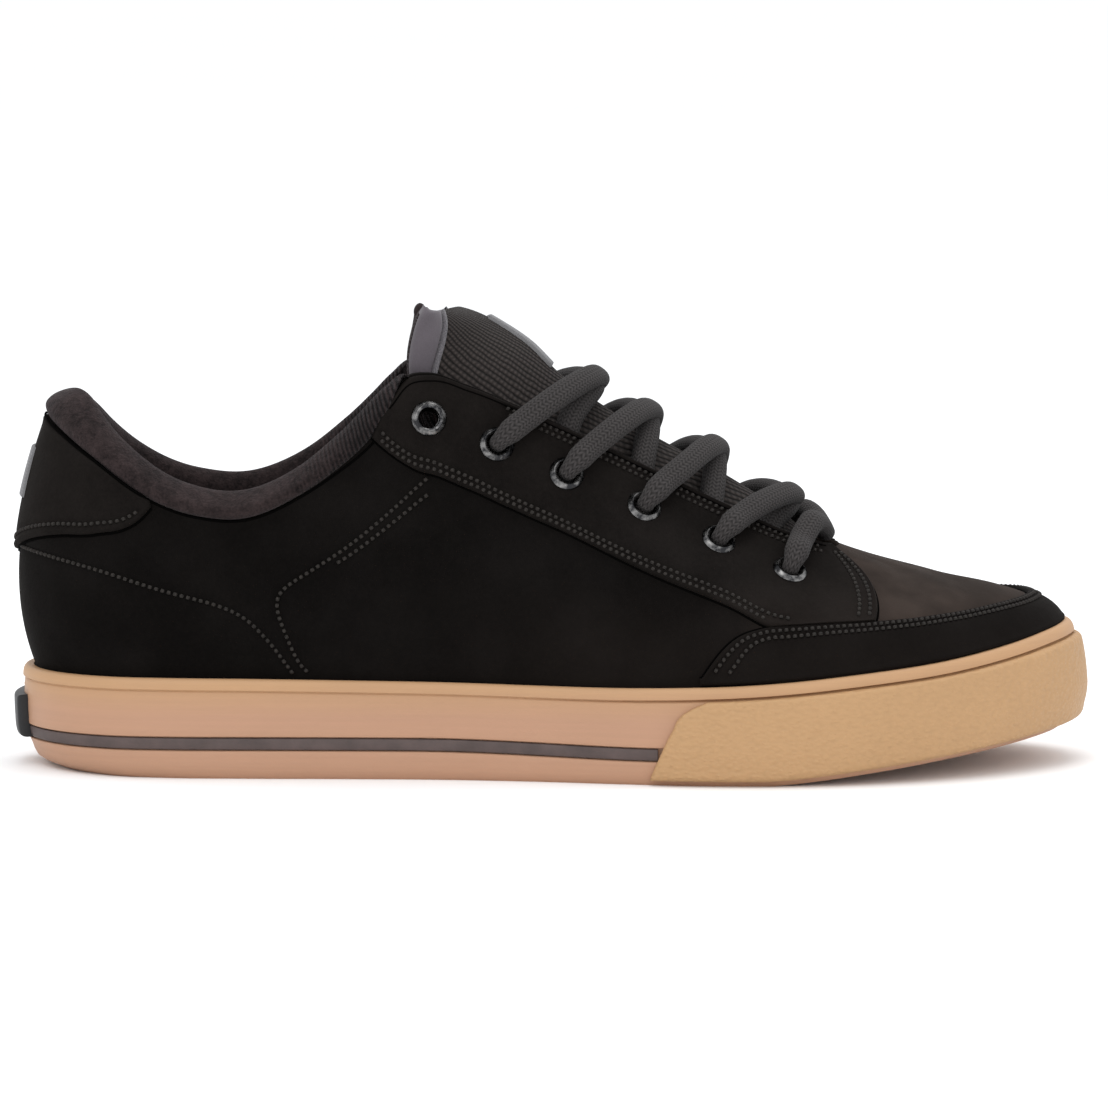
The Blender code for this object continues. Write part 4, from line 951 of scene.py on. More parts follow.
def bumper_finish():
    """Yellower gum of the toe's bumper, finely pebbled and a little darker towards the tip of the toe."""
    colour = tuple(shoe().bumper_colour)
    made = Finish("bumper_gum", colour, 0.55, Specular_IOR_Level=0.38)
    bumps = made.pebbles(1.0, made.stretched((700.0, 700.0, 1100.0)))
    fine = made.noise(2400.0, 2.0, 0.5)
    cloud = made.noise(30.0, 4.0, 0.6)
    share = (cloud.between(0.32, 0.7) * 0.5 + bumps.between(0.1, 0.7) * 0.6).clamped()
    # Darker towards the tip of the toe, from x = 0.08 forwards.
    toe_tip_darkening = made.along().between(0.08, 0.15) * 0.12
    made.paint(made.blend((share * 0.42 + toe_tip_darkening).clamped(), colour, tuple(0.72 * c for c in colour)))
    made.dull(0.5 + cloud * 0.15)
    made.emboss((1.0 - bumps) * 0.42 + fine * 0.06)
    return made.material


def dark_rubber_finish(name, colour, roughness):
    """Matte dark rubber with a dusty bloom."""
    made = Finish(name, colour, roughness, Specular_IOR_Level=0.35)
    cloud = made.noise(140.0, 4.0, 0.6)
    fine = made.noise(2000.0, 2.0, 0.5)
    dark, light = (tuple(times * c for c in colour) for times in (0.8, 1.25))
    made.paint(made.blend(cloud.between(0.3, 0.7), dark, light))
    made.dull(cloud * 0.2 + (roughness - 0.1))
    made.emboss(fine * 0.03 + cloud * 0.05)
    return made.material


def gunmetal_finish():
    """Dark plated metal of the eyelets, brighter where the plating is scuffed."""
    made = Finish("gunmetal_plate", (0.05, 0.05, 0.052), 0.3, 1.0)
    rub = made.noise(420.0, 3.0, 0.6)
    made.paint(made.blend(rub.between(0.42, 0.66), (0.030, 0.030, 0.032), (0.24, 0.235, 0.23)))
    made.dull(rub * 0.25 + 0.12)
    made.emboss(made.noise(1500.0, 2.0, 0.5) * 0.01)
    return made.material


def patch_finish():
    """Plain light-grey woven patch."""
    made = Finish("patch_weave", (0.25, 0.25, 0.255), 0.8, Specular_IOR_Level=0.2)
    along, across = made.run()
    per_thread = 2 * math.pi / 0.0007
    warp = (along * per_thread).sine() * 0.5 + 0.5
    weft = (across * per_thread).sine() * 0.5 + 0.5
    cloud = made.noise(200.0, 3.0, 0.6)
    share = (warp * weft * 0.6 + cloud * 0.4).clamped()
    made.paint(made.blend(share, (0.15, 0.147, 0.15), (0.31, 0.305, 0.31)))
    made.emboss(warp * weft * 0.08)
    return made.material


def thread_finish():
    """Waxed dark thread of the seams."""
    made = Finish("thread", (0.020, 0.016, 0.013), 0.7, Specular_IOR_Level=0.2)
    twist = made.noise(2600.0, 2.0, 0.6)
    made.paint(made.blend(twist.between(0.3, 0.7), (0.007, 0.006, 0.0054), (0.030, 0.025, 0.0215)))
    made.emboss(twist * 0.05)
    return made.material


def footbed_finish():
    """Black textile over the foam of the footbed."""
    made = Finish("footbed_cloth", (0.02, 0.02, 0.02), 0.95, Sheen_Weight=0.2, Specular_IOR_Level=0.2)
    weave = made.noise(1900.0, 2.0, 0.6)
    cloud = made.noise(60.0, 3.0, 0.6)
    share = (weave * 0.6 + cloud * 0.4).clamped()
    made.paint(made.blend(share, (0.010, 0.010, 0.010), (0.036, 0.035, 0.034)))
    made.emboss(weave * 0.12)
    return made.material


def floor_finish():
    """Plain pale studio floor."""
    made = Finish("studio_floor", (0.96, 0.96, 0.96), 0.9, Specular_IOR_Level=0.0)
    cloud = made.noise(0.6, 2.0, 0.5)
    made.paint(made.blend(cloud, (0.955, 0.955, 0.955), (0.965, 0.965, 0.965)))
    return made.material


FINISHES = {}


def finish(maker, *words):
    """A material, made once and then shared."""
    key = (maker.__name__, *words[:1])
    if key not in FINISHES:
        FINISHES[key] = maker(*words)
    return FINISHES[key]


def shoe():
    return bpy.context.scene.shoe


class Shape:
    """Points and faces of one piece, gathered grid by grid."""

    def __init__(self):
        self.points = []
        self.faces = []
        self.runs = []
        self.slots = []
        self.count = 0

    def add(self, points, faces, runs=None, slot=0):
        points = np.asarray(points).reshape(-1, 3)
        self.points.append(points)
        self.faces += [tuple(i + self.count for i in face) for face in faces]
        if runs is None:
            self.runs += [(0.0, 0.0)] * sum(len(face) for face in faces)
        else:
            self.runs += [tuple(r) for r in np.asarray(runs).reshape(-1, 2).tolist()]
        self.slots += [slot] * len(faces) if np.isscalar(slot) else list(slot)
        self.count += len(points)

    def grid(self, points, around=False, along=False, run=None, slot=0, keep=None):
        """Faces between neighbours of a grid. around closes its columns and along its rows."""
        rows, columns = points.shape[:2]
        down = np.arange(rows if along else rows - 1)
        across = np.arange(columns if around else columns - 1)
        i, j = np.meshgrid(down, across, indexing="ij")
        i, j = i.ravel(), j.ravel()
        slots = np.full(i.shape, slot) if np.isscalar(slot) else np.asarray(slot)[i, j]
        if keep is not None:
            kept = np.asarray(keep)[i, j]
            i, j, slots = i[kept], j[kept], slots[kept]
        i2, j2 = (i + 1) % rows, (j + 1) % columns
        faces = np.stack((i * columns + j, i2 * columns + j, i2 * columns + j2, i * columns + j2), 1)
        runs = None
        if run is not None:
            runs = np.stack((run[i, j], run[i + 1, j], run[i + 1, j + 1], run[i, j + 1]), 1)
        self.add(points, faces.tolist(), runs, slots.tolist())

    def cap_ends(self, sections):
        """Closes the first and the last section of a tube."""
        ring = [tuple(range(sections.shape[1]))]
        self.add(sections[0], ring)
        self.add(sections[-1], ring)

    def slab(self, top, under, run=None, keep=None):
        """Upper and lower face of a thin piece, and the narrow rim between them."""
        self.grid(top, run=run, keep=keep)
        self.grid(under, keep=keep)
        self.grid(np.stack((edge_loop(top), edge_loop(under))), around=True)

    def make(self, name, finishes, smooth=40, merge=0.0):
        mesh = bpy.data.meshes.new(name)
        mesh.from_pydata(np.concatenate(self.points).tolist(), [], self.faces)
        layer = mesh.uv_layers.new(name="weave")
        layer.data.foreach_set("uv", np.asarray(self.runs, np.float32).ravel())
        mesh.polygons.foreach_set("material_index", np.asarray(self.slots, np.int32))
        work = bmesh.new()
        work.from_mesh(mesh)
        if merge:
            bmesh.ops.remove_doubles(work, verts=work.verts, dist=merge)
        bmesh.ops.recalc_face_normals(work, faces=work.faces)
        if work.calc_volume(signed=True) < 0:
            bmesh.ops.reverse_faces(work, faces=work.faces)
        work.to_mesh(mesh)
        work.free()
        mesh.shade_smooth()
        mesh.set_sharp_from_angle(angle=math.radians(smooth))
        for one in finishes:
            mesh.materials.append(one)
        made = bpy.data.objects.new(name, mesh)
        bpy.context.scene.collection.objects.link(made)
        return made


def place_piece(piece, slot, *nodes):
    """Seats a finished piece on the shoe's one body, in place of its solids."""
    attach(piece, "root")
    if nodes:
        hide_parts(*nodes)
    return piece


def flat_run(rows, columns, length, width):
    """Distances along and across a grid, for a weave."""
    u, v = np.meshgrid(np.linspace(0, length, rows), np.linspace(0, width, columns), indexing="ij")
    return np.stack((u, v), -1)


def relief(at, rise):
    """How far the upper's soft troughs and swellings move its face outwards."""
    at, rise = np.broadcast_arrays(at, rise)
    turn = turn_of(at)
    medial = np.mod(at, 1.0) > 0.5
    moved = np.zeros(at.shape)
    for crease in CREASES:
        a = np.array((crease.turn * HALF_ROUND, crease.rise * WALL_DEPTH))
        b = np.array((crease.to_turn * HALF_ROUND, crease.to_rise * WALL_DEPTH))
        px, pz = turn * HALF_ROUND - a[0], rise * WALL_DEPTH - a[1]
        run = b - a
        share = np.clip((px * run[0] + pz * run[1]) / (run @ run), 0, 1)
        away = np.hypot(px - share * run[0], pz - share * run[1])
        fade = np.sin(math.pi * np.clip(0.12 + 0.76 * share, 0, 1))
        trough = hump(away, crease.width)
        swell = 0.35 * hump(away - 1.9 * crease.width, crease.width)
        moved += crease.depth * fade * (swell - trough) * np.where(medial, 0.8, 1.0)
    hem = soft_step(0.0, 0.12, rise) * (1 - soft_step(0.90, 1.0, rise))
    return moved * hem * (shoe().crease_depth / 0.0005)


def skin_point(at, rise, out=0.0):
    """Point over the upper's face with its troughs, out metres outwards."""
    return upper_layer(at, rise, np.asarray(out) + relief(at, rise))


def near_holes(points, reach):
    """Which points lie within reach of an eyelet's axis."""
    inside = np.zeros(points.shape[:-1], bool)
    for side in (-1, 1):
        for index in range(len(EYELETS)):
            centre, normal = eyelet_frame(index, side)
            away = points - centre
            height = away @ normal
            radial = np.linalg.norm(away - height[..., None] * normal, axis=-1)
            inside |= (radial < reach) & (np.abs(height) < 0.006)
    return inside


def face_centres(points, around=False, along=False):
    """Middle of each face of a grid."""
    if along:
        points = np.concatenate((points, points[:1]))
    if around:
        points = np.concatenate((points, points[:, :1]), 1)
    return (points[:-1, :-1] + points[1:, :-1] + points[1:, 1:] + points[:-1, 1:]) / 4


def sink_seams(points, outward, depth, width):
    """Moves the points of a face inwards along the rows of stitches."""
    rows = np.concatenate([row[0] for row in STITCH_ROWS])
    tree = KDTree(len(rows))
    for i, point in enumerate(rows):
        tree.insert(point, i)
    tree.balance()
    flat = points.reshape(-1, 3)
    away = np.array([tree.find(p)[2] for p in flat]).reshape(points.shape[:-1])
    return points - outward * (depth * hump(away, width))[..., None]


# Every row of stitches, as a line and the direction away from the upper at its points
STITCH_ROWS = []


def note_seam(at, rise, out):
    """Keeps a row of stitches over the upper for the thread, and for the groove that it pulls."""
    line = skin_point(at, rise, out)
    STITCH_ROWS.append((line, upper_normal(at, rise)))


def stay_place(share, across, side):
    """Place on an eyestay: share from its rear to its front, and across from its lower edge up."""
    share, across = np.broadcast_arrays(np.asarray(share, float), np.asarray(across, float))
    keys = np.linspace(0, 1, len(SEWN_STAY))
    rows = spline(keys, SEWN_STAY, share)
    low_turn, low_rise, top_turn = rows[..., 0], rows[..., 1], rows[..., 2]
    turn = low_turn + (top_turn - low_turn) * across
    rise = low_rise + (EDGE_RISE - low_rise) * across
    return side_place(turn, side), rise


def stay_width(share, side):
    """Width of an eyestay, from its lower edge to the throat."""
    low = skin_point(*stay_place(share, 0.0, side))
    high = skin_point(*stay_place(share, 1.0, side))
    return np.linalg.norm(high - low, axis=1)


def edge_distance(points):
    """Distance of each point of a grid from the grid's nearest edge, along its rows and columns."""
    def runs(array):
        steps = np.linalg.norm(np.diff(array, axis=0), axis=-1)
        total = np.concatenate((np.zeros_like(steps[:1]), np.cumsum(steps, axis=0)))
        return np.minimum(total, total[-1:] - total)

    return np.minimum(runs(points), runs(points.swapaxes(0, 1)).swapaxes(0, 1))


def layer_height(away, thick, rounding=0.0008, least=0.45):
    """Height of a layer over what it lies on, at a distance from its edge, where it has its least share."""
    f = np.clip(away / rounding, 0, 1)
    return thick * (least + (1 - least) * np.sqrt(1 - (1 - f) ** 2))


def dense_ends(count, first=0.0, last=1.0, edge=0.03):
    """Shares from first to last, closer together at both ends."""
    steps = np.array((0.0, 0.12, 0.3, 0.6, 1.0)) * edge
    middle = np.linspace(edge, 1 - edge, count)[1:-1]
    return first + (last - first) * np.concatenate((steps, middle, 1 - steps[::-1]))


def sewn_panel(name, at, rise, base, leather, holes=False):
    """Leather panel over the upper, with rounded cut edges, sunk a little into what it lies on."""
    ground = skin_point(at, rise)
    away = edge_distance(ground)
    hem = HEM_LIFT * hump(away - 0.0010, 0.0006)
    top = skin_point(at, rise, base + layer_height(away, LAYER) + hem)
    top = sink_seams(top, upper_normal(at, rise), SEAM_SINK, 0.0008)
    under = skin_point(at, rise, -0.0004)
    shape = Shape()
    keep = ~near_holes(face_centres(top), EYELET_BORE / 2 + 0.0007) if holes else None
    shape.slab(top, under, keep=keep)
    return shape.make(name, [leather], smooth=50, merge=MERGE)


def edge_loop(points):
    """The points round the edge of a grid, in order."""
    return np.concatenate((points[0, :-1], points[:-1, -1], points[-1, :0:-1], points[:0:-1, 0]))


def sole_profile(at):
    """Rows of the sole's side from the tread up to the top of its rim."""
    x = outline(at)[0][:, 0]
    low, rim = bottom_height(x), rim_height(x)
    turn = turn_of(at)
    rows = []

    def row(height, out):
        rows.append(wall_point(at, wall_share(at, height), out))

    for share in (0.0, 0.012, 0.03, 0.06, 0.10, 0.15, 0.21):
        row(low + share * (rim - low), 0.0)
    middle = stripe_height(x) + low
    half = STRIPE_WIDTH / 2 + GAP
    deep = (STRIPE_DEPTH + GAP) * (1 - soft_step(0.62, 0.68, turn))
    lower = ((-0.0005, 0.0), (-0.0002, 0.06), (0.0, 0.3), (0.0001, 1.0))
    for offset, depth in lower:
        row(middle - half + offset, -deep * depth)
    for offset, depth in reversed(lower):
        row(middle + half - offset, -deep * depth)
    start, stop = middle + half + 0.001, rim - RIM_BAND - 0.0006
    back = 1 - soft_step(0.20, 0.42, turn)
    for f in np.linspace(0, 1, 15):
        height = start + (stop - start) * f
        ribs = sum(hump(height - z, RIB_WIDTH) for z in RIB_HEIGHTS)
        row(height, RIB_DEPTH * back * ribs)
    notch = 0.0002 + 0.0006 * soft_step(0.42, 0.64, turn)
    row(rim - RIM_BAND - 0.0003, -0.3 * notch)
    row(rim - RIM_BAND, -notch)
    row(rim - RIM_BAND + 0.0003, -0.3 * notch + 0.4 * RIM_GROOVE)
    rounding = ((0.0030, 0.95), (0.0022, 1.0), (0.0014, 0.9), (0.0007, 0.5), (0.0002, -0.2), (0.0, -1.1))
    for drop, out in rounding:
        row(rim - drop, out * RIM_GROOVE)
    return rows


def across_grid(edge, columns, height):
    """Grid between the facing places of a closed line round the shoe, its height from a function."""
    count = len(edge)
    half = count // 2
    left = edge[: half + 1]
    right = np.concatenate((edge[:1], edge[: half - 1 : -1]))
    f = np.linspace(0, 1, columns)[None, :, None]
    points = left[:, None] * (1 - f) + right[:, None] * f
    points[..., 2] = height(points)
    points[:, 0], points[:, -1] = left, right
    return points


def tread_height(points):
    """Tread with chevron grooves under heel and ball, plain at the arch and along its border."""
    x, y = points[..., 0], points[..., 1]
    along = to_along(x)
    width = np.abs(points[:, -1, 1] - points[:, 0, 1])[:, None]
    share = np.linspace(0, 1, points.shape[1])[None, :]
    border = np.minimum(share, 1 - share) * width
    zone = soft_step(0.06, 0.08, along) * (1 - soft_step(0.40, 0.42, along))
    zone = zone + soft_step(0.52, 0.54, along) * (1 - soft_step(0.93, 0.95, along))
    wave = np.mod((x + 0.5 * np.abs(y)) / TREAD_PITCH, 1.0)
    groove = soft_step(0.0, 0.10, wave) * (1 - soft_step(0.24, 0.34, wave))
    depth = TREAD_DEPTH * groove * zone * soft_step(0.006, 0.0075, border)
    return bottom_height(x) + depth


def make_cup_sole():
    """Gum cup sole."""
    at = np.arange(SOLE_STEPS) / SOLE_STEPS
    rows = sole_profile(at)
    x = outline(at)[0][:, 0]
    rim = rim_height(x)
    for more, drop in ((0.0, 0.0001), (0.0, 0.0010)):
        rows.append(np.concatenate((cup_inset(at, more)[0], (rim - drop)[:, None]), 1))
    inner = np.concatenate((cup_inset(at)[0], floor_height(x)[:, None]), 1)
    rows.append(inner)
    side = np.stack(rows, 1)
    shape = Shape()
    shape.grid(side, along=True)
    shape.grid(across_grid(side[:, 0], 110, tread_height))
    shape.grid(across_grid(inner, 12, lambda points: floor_height(points[..., 0])))
    piece = shape.make("cup_sole", [finish(gum_finish)], smooth=38, merge=0.00002)
    place_piece(piece, "gum_rubber", "outsole")


def make_stripe_band():
    """Dark band in the sole's channel."""
    end = turn_at(BUMPER_REAR[1].along) - 0.002
    at = np.linspace(-end / 2, end / 2, 420)
    x = outline(at)[0][:, 0]
    middle = stripe_height(x) + bottom_height(x)
    half = STRIPE_WIDTH / 2
    profile = (
        (-1.0, 1.0), (-1.0, 0.45), (-0.93, 0.28), (-0.80, 0.20), (-0.3, 0.16), (0.3, 0.16),
        (0.80, 0.22), (0.93, 0.32), (1.0, 0.5), (1.0, 1.0),
    )
    rows = [wall_point(at, wall_share(at, middle + z * half), -depth * STRIPE_DEPTH) for z, depth in profile]
    sections = np.stack(rows, 1)
    shape = Shape()
    shape.grid(sections, around=True)
    shape.cap_ends(sections)
    rubber = finish(dark_rubber_finish, "stripe_ink", (0.080, 0.058, 0.054), 0.6)
    piece = shape.make("stripe_band", [rubber], merge=MERGE)
    place_piece(piece, "stripe_rubber", "stripe")


def turn_at(along):
    """Turn at which the sole's plan has reached a share of the length."""
    fine = np.linspace(0, 1, 401)
    return np.interp(along, follow(SOLE_PLAN, "turn", "along", fine), fine)


def make_bumper_band():
    """Pebbled bumper round the toe."""
    share_low = 0.05
    grid_at, grid_share = [], []
    for level in dense_ends(26, edge=0.05):
        rear_share = share_low + level * (BUMPER_REAR[-1].height - share_low)
        start = float(turn_at(float(follow(BUMPER_REAR, "height", "along", np.array(rear_share)))))
        at = (start + (2 - 2 * start) * dense_ends(330, edge=0.004)) / 2
        x = outline(at)[0][:, 0]
        top = wall_share(at, rim_height(x) - RIM_BAND - GAP)
        grid_at.append(at)
        grid_share.append(share_low + level * (top - share_low))
    at, share = np.array(grid_at), np.array(grid_share)
    ground = wall_point(at, share, 0.0)
    thick = layer_height(edge_distance(ground), BUMPER_THICK + BUMPER_GAP, 0.0016, 0.35)
    outer = wall_point(at, share, thick)
    under = wall_point(at, share, -0.0005)
    shape = Shape()
    shape.slab(outer, under)
    piece = shape.make("bumper_band", [finish(bumper_finish)], smooth=50, merge=MERGE)
    place_piece(piece, "bumper_rubber", "toe_bumper")


def make_tab_plate():
    """Small plain plate at the back of the sole."""
    at, heights = np.meshgrid(
        dense_ends(24, -HEEL_TAB_TURN, HEEL_TAB_TURN, 0.05), dense_ends(14, TAB_LOW, TAB_HIGH, 0.1)
    )
    share = wall_share(at, heights)
    ground = wall_point(at, share, 0.0)
    thick = layer_height(edge_distance(ground), TAB_THICK + BUMPER_GAP, 0.0011, 0.55)
    outer, under = wall_point(at, share, thick), wall_point(at, share, -0.0003)
    shape = Shape()
    shape.slab(outer, under)
    rubber = finish(dark_rubber_finish, "tab_rubber", (0.012, 0.012, 0.013), 0.5)
    piece = shape.make("tab_plate", [rubber], merge=MERGE)
    place_piece(piece, "dark_rubber", "heel_tab")


def make_footbed():
    """Footbed, cupped a little at the heel and along its edge."""
    at = np.arange(256) / 256
    low = []
    lifts = (0.0, INSOLE_THICK + 0.0006, INSOLE_THICK + 0.0012, INSOLE_THICK + 0.0008)
    for more, lift in zip((0.0, 0.0, 0.0008, 0.0022), lifts):
        plan = cup_inset(at, UPPER_WALL + 2 * GAP + more)[0]
        z = floor_height(outline(at)[0][:, 0]) + GAP + lift
        low.append(np.concatenate((plan, z[:, None]), 1))
    side = np.stack(low, 1)

    def dish(points):
        share = np.linspace(-1, 1, points.shape[1])[None, :]
        return floor_height(points[..., 0]) + GAP + INSOLE_THICK + 0.0008 * np.abs(share) ** 5

    shape = Shape()
    shape.grid(side, along=True)
    shape.grid(across_grid(side[:, -1], 40, dish))
    shape.grid(across_grid(side[:, 0], 6, lambda points: floor_height(points[..., 0]) + GAP))
    piece = shape.make("footbed_pad", [finish(footbed_finish)], merge=0.00002)
    place_piece(piece, "footbed", "insole")


def make_upper_shell():
    """Hollow upper: nubuck outside, lining inside."""
    at = np.arange(UPPER_STEPS) / UPPER_STEPS
    rises = 1 - (1 - np.linspace(0, 1, UPPER_ROWS)) ** 1.08
    grid_at, grid_rise = np.meshgrid(at, rises, indexing="ij")
    outer = skin_point(grid_at, grid_rise)
    outer = sink_seams(outer, upper_normal(grid_at, grid_rise), SEAM_SINK, 0.0009)
    inner_at, inner_rise = np.meshgrid(at, np.linspace(1, 0, 22), indexing="ij")
    inner = upper_layer(inner_at, inner_rise, -UPPER_WALL)
    x = outline(at)[0][:, 0]
    floor = floor_height(x) + GAP
    foot = outer[:, :1].copy()
    foot[..., 2] = floor[:, None]
    plan = cup_inset(at, GAP + UPPER_WALL)[0]
    inner[:, -1, :2] = plan
    inner[:, -1, 2] = outer[:, 0, 2]
    sole_edge = np.concatenate((plan, floor[:, None]), 1)[:, None]
    lip = upper_layer(at, np.ones_like(at), -UPPER_WALL / 2)[:, None]
    lip = lip + unit(outer[:, -1:] - outer[:, -2:-1]) * 0.0005
    sections = np.concatenate((foot, outer, lip, inner, sole_edge), 1)
    sides = sections.shape[1]
    inside = np.zeros((len(at), sides), int)
    inside[:, 1 + UPPER_ROWS + 1 :] = 1
    keep = ~near_holes(face_centres(sections, around=True, along=True), EYELET_BORE / 2 + 0.0006)
    shape = Shape()
    shape.grid(sections, around=True, along=True, slot=inside, keep=keep)
    # The last number is the share of the painted highlight over the vamp.
    finishes = [finish(nubuck_finish, "nubuck", 0.80, 0.85), finish(plush_finish)]
    piece = shape.make("upper_shell", finishes, smooth=60)
    place_piece(piece, "nubuck", "upper")


def lay_out_seams():
    """Settles every row of stitches before the pieces that they pull in."""
    for side in (-1, 1):
        share = np.linspace(0, 1, 200)
        wide = stay_width(share, side)
        inner = (share > LOW_ROWS_FROM) & (share < ROWS_TO)
        upper_half = (share > HIGH_ROWS_FROM) & (share < ROWS_TO)
        for distance in (SEAM_FROM_EDGE, SEAM_FROM_EDGE + SEAM_APART):
            at, rise = stay_place(share[inner], (distance / wide)[inner], side)
            kept = rise > toe_cover(at) + ROWS_COVER
            note_seam(at[kept], rise[kept], ON_PANEL)
            at, rise = stay_place(share[upper_half], 1 - ((distance + 0.0010) / wide)[upper_half], side)
            note_seam(at, rise, ON_PANEL)
            across = np.linspace(0.0, 0.90, 80)
            at, rise = stay_place(np.full_like(across, 1 - distance / FRONT_REACH), across, side)
            kept = rise > toe_cover(at) + ROWS_COVER
            note_seam(at[kept], rise[kept], ON_PANEL)
        for table in (COUNTER_SEAM, QUARTER_SEAM, QUARTER_TWIN):
            places = spline(np.linspace(0, 1, len(table)), table, np.linspace(0, 1, 240))
            note_seam(side_place(places[:, 0], side), places[:, 1], 0.0)
    turns = np.linspace(TOE_ROWS_FROM, 2 - TOE_ROWS_FROM, 460)
    edge = toe_edge(turns)
    for distance, lead in ((SEAM_FROM_EDGE, 0.0), (SEAM_FROM_EDGE + SEAM_APART, 0.011)):
        end = np.clip((0.680 - np.minimum(turns, 2 - turns)) / 0.060, 0, 1)
        shift = np.where(turns < 1, 1, -1) * (0.006 + lead) * end
        rise = edge - distance / LOW_WALL * (1 - 0.8 * end)
        kept = rise > 0.03
        note_seam((turns + shift)[kept] / 2, rise[kept], ON_PANEL)
    turns = np.linspace(-HEEL_ROW_TO, HEEL_ROW_TO, 240)
    edge = heel_edge(turns)
    note_seam(turns / 2, edge + 0.0026 / LOW_WALL, ON_PANEL)


def heel_edge(turns):
    """Lower edge of the heel overlay, for turns of either sign."""
    return follow(SEWN_HEEL, "turn", "rise", np.abs(turns))


def toe_edge(turns):
    """Upper edge of the toe overlay, for turns that go on past 1 along the medial side."""
    return follow(TOE_EDGE, "turn", "rise", np.minimum(turns, 2 - turns))


def toe_cover(at):
    """How high up the upper the toe overlay covers what lies under it."""
    turns = 2 * (np.asarray(at) % 1.0)
    return np.where(np.minimum(turns, 2 - turns) > TOE_EDGE[0].turn, toe_edge(turns), 0.0)


def make_eyestay_panel(side, word):
    """Eyestay with its eyelet holes. It ends where the toe overlay covers it."""
    share, across = np.meshgrid(dense_ends(190, edge=0.012), dense_ends(46, edge=0.04), indexing="ij")
    at, rise = stay_place(share, across, side)
    rise = np.maximum(rise, toe_cover(at) + 0.002 * across)
    # The last number is a faint share of the painted vamp highlight.
    leather = finish(nubuck_finish, "nubuck_panel", 1.50, 0.02)
    piece = sewn_panel(f"eyestay_panel_{word}", at, rise, ON_UPPER, leather, holes=True)
    place_piece(piece, "nubuck", f"eyestay_{word}")


def make_toe_panel():
    """Overlay round the toe."""
    turns = dense_ends(300, TOE_EDGE[0].turn, 2 - TOE_EDGE[0].turn, 0.006)
    low, least = 0.004, 0.03
    edge = np.maximum(toe_edge(turns), low + least)
    across = dense_ends(34, edge=0.05)[:, None]
    rise = low + (edge - low) * across
    at = np.broadcast_to(turns / 2, rise.shape)
    piece = sewn_panel("toe_panel", at, rise, ON_UPPER / 2, finish(nubuck_finish, "nubuck_toe", 0.78, 0.0))
    place_piece(piece, "nubuck", "toe_overlay")


def make_heel_panel():
    """Overlay round the back of the heel, up to the collar's seam."""
    last = SEWN_HEEL[-1].turn
    turns = dense_ends(150, -last, last, 0.01)
    edge = heel_edge(turns)
    across = dense_ends(30, edge=0.04)[:, None]
    rise = edge + (EDGE_RISE - edge) * across
    at = np.broadcast_to(turns / 2, rise.shape)
    # The last number is a faint share of the painted vamp highlight.
    leather = finish(nubuck_finish, "nubuck_panel", 1.50, 0.02)
    piece = sewn_panel("heel_panel", at, rise, ON_UPPER, leather)
    place_piece(piece, "nubuck", "heel_overlay")


def make_back_patch():
    """Plain woven patch on the back of the heel."""
    across = dense_ends(20, -PATCH_TURN, PATCH_TURN, 0.05) / 2
    at, rise = np.meshgrid(across, dense_ends(16, *PATCH_RISES, 0.05))
    away = edge_distance(upper_point(at, rise))
    top = skin_point(at, rise, ON_PANEL + layer_height(away, PATCH_THICK, 0.0005))
    under = skin_point(at, rise, ON_PANEL - 0.0005)
    shape = Shape()
    shape.slab(top, under, run=flat_run(*top.shape[:2], 0.015, 0.018))
    piece = shape.make("back_patch", [finish(patch_finish)], merge=MERGE)
    place_piece(piece, "patch_grey", "heel_patch")


def roll_foot(turn):
    """How far over the upper's edge the roll's foot lies. It laps lower towards its front ends."""
    lap = soft_step(0.33, 0.42, turn) * (1 - soft_step(0.432, 0.447, turn))
    return 0.0003 - ROLL_LAP * lap


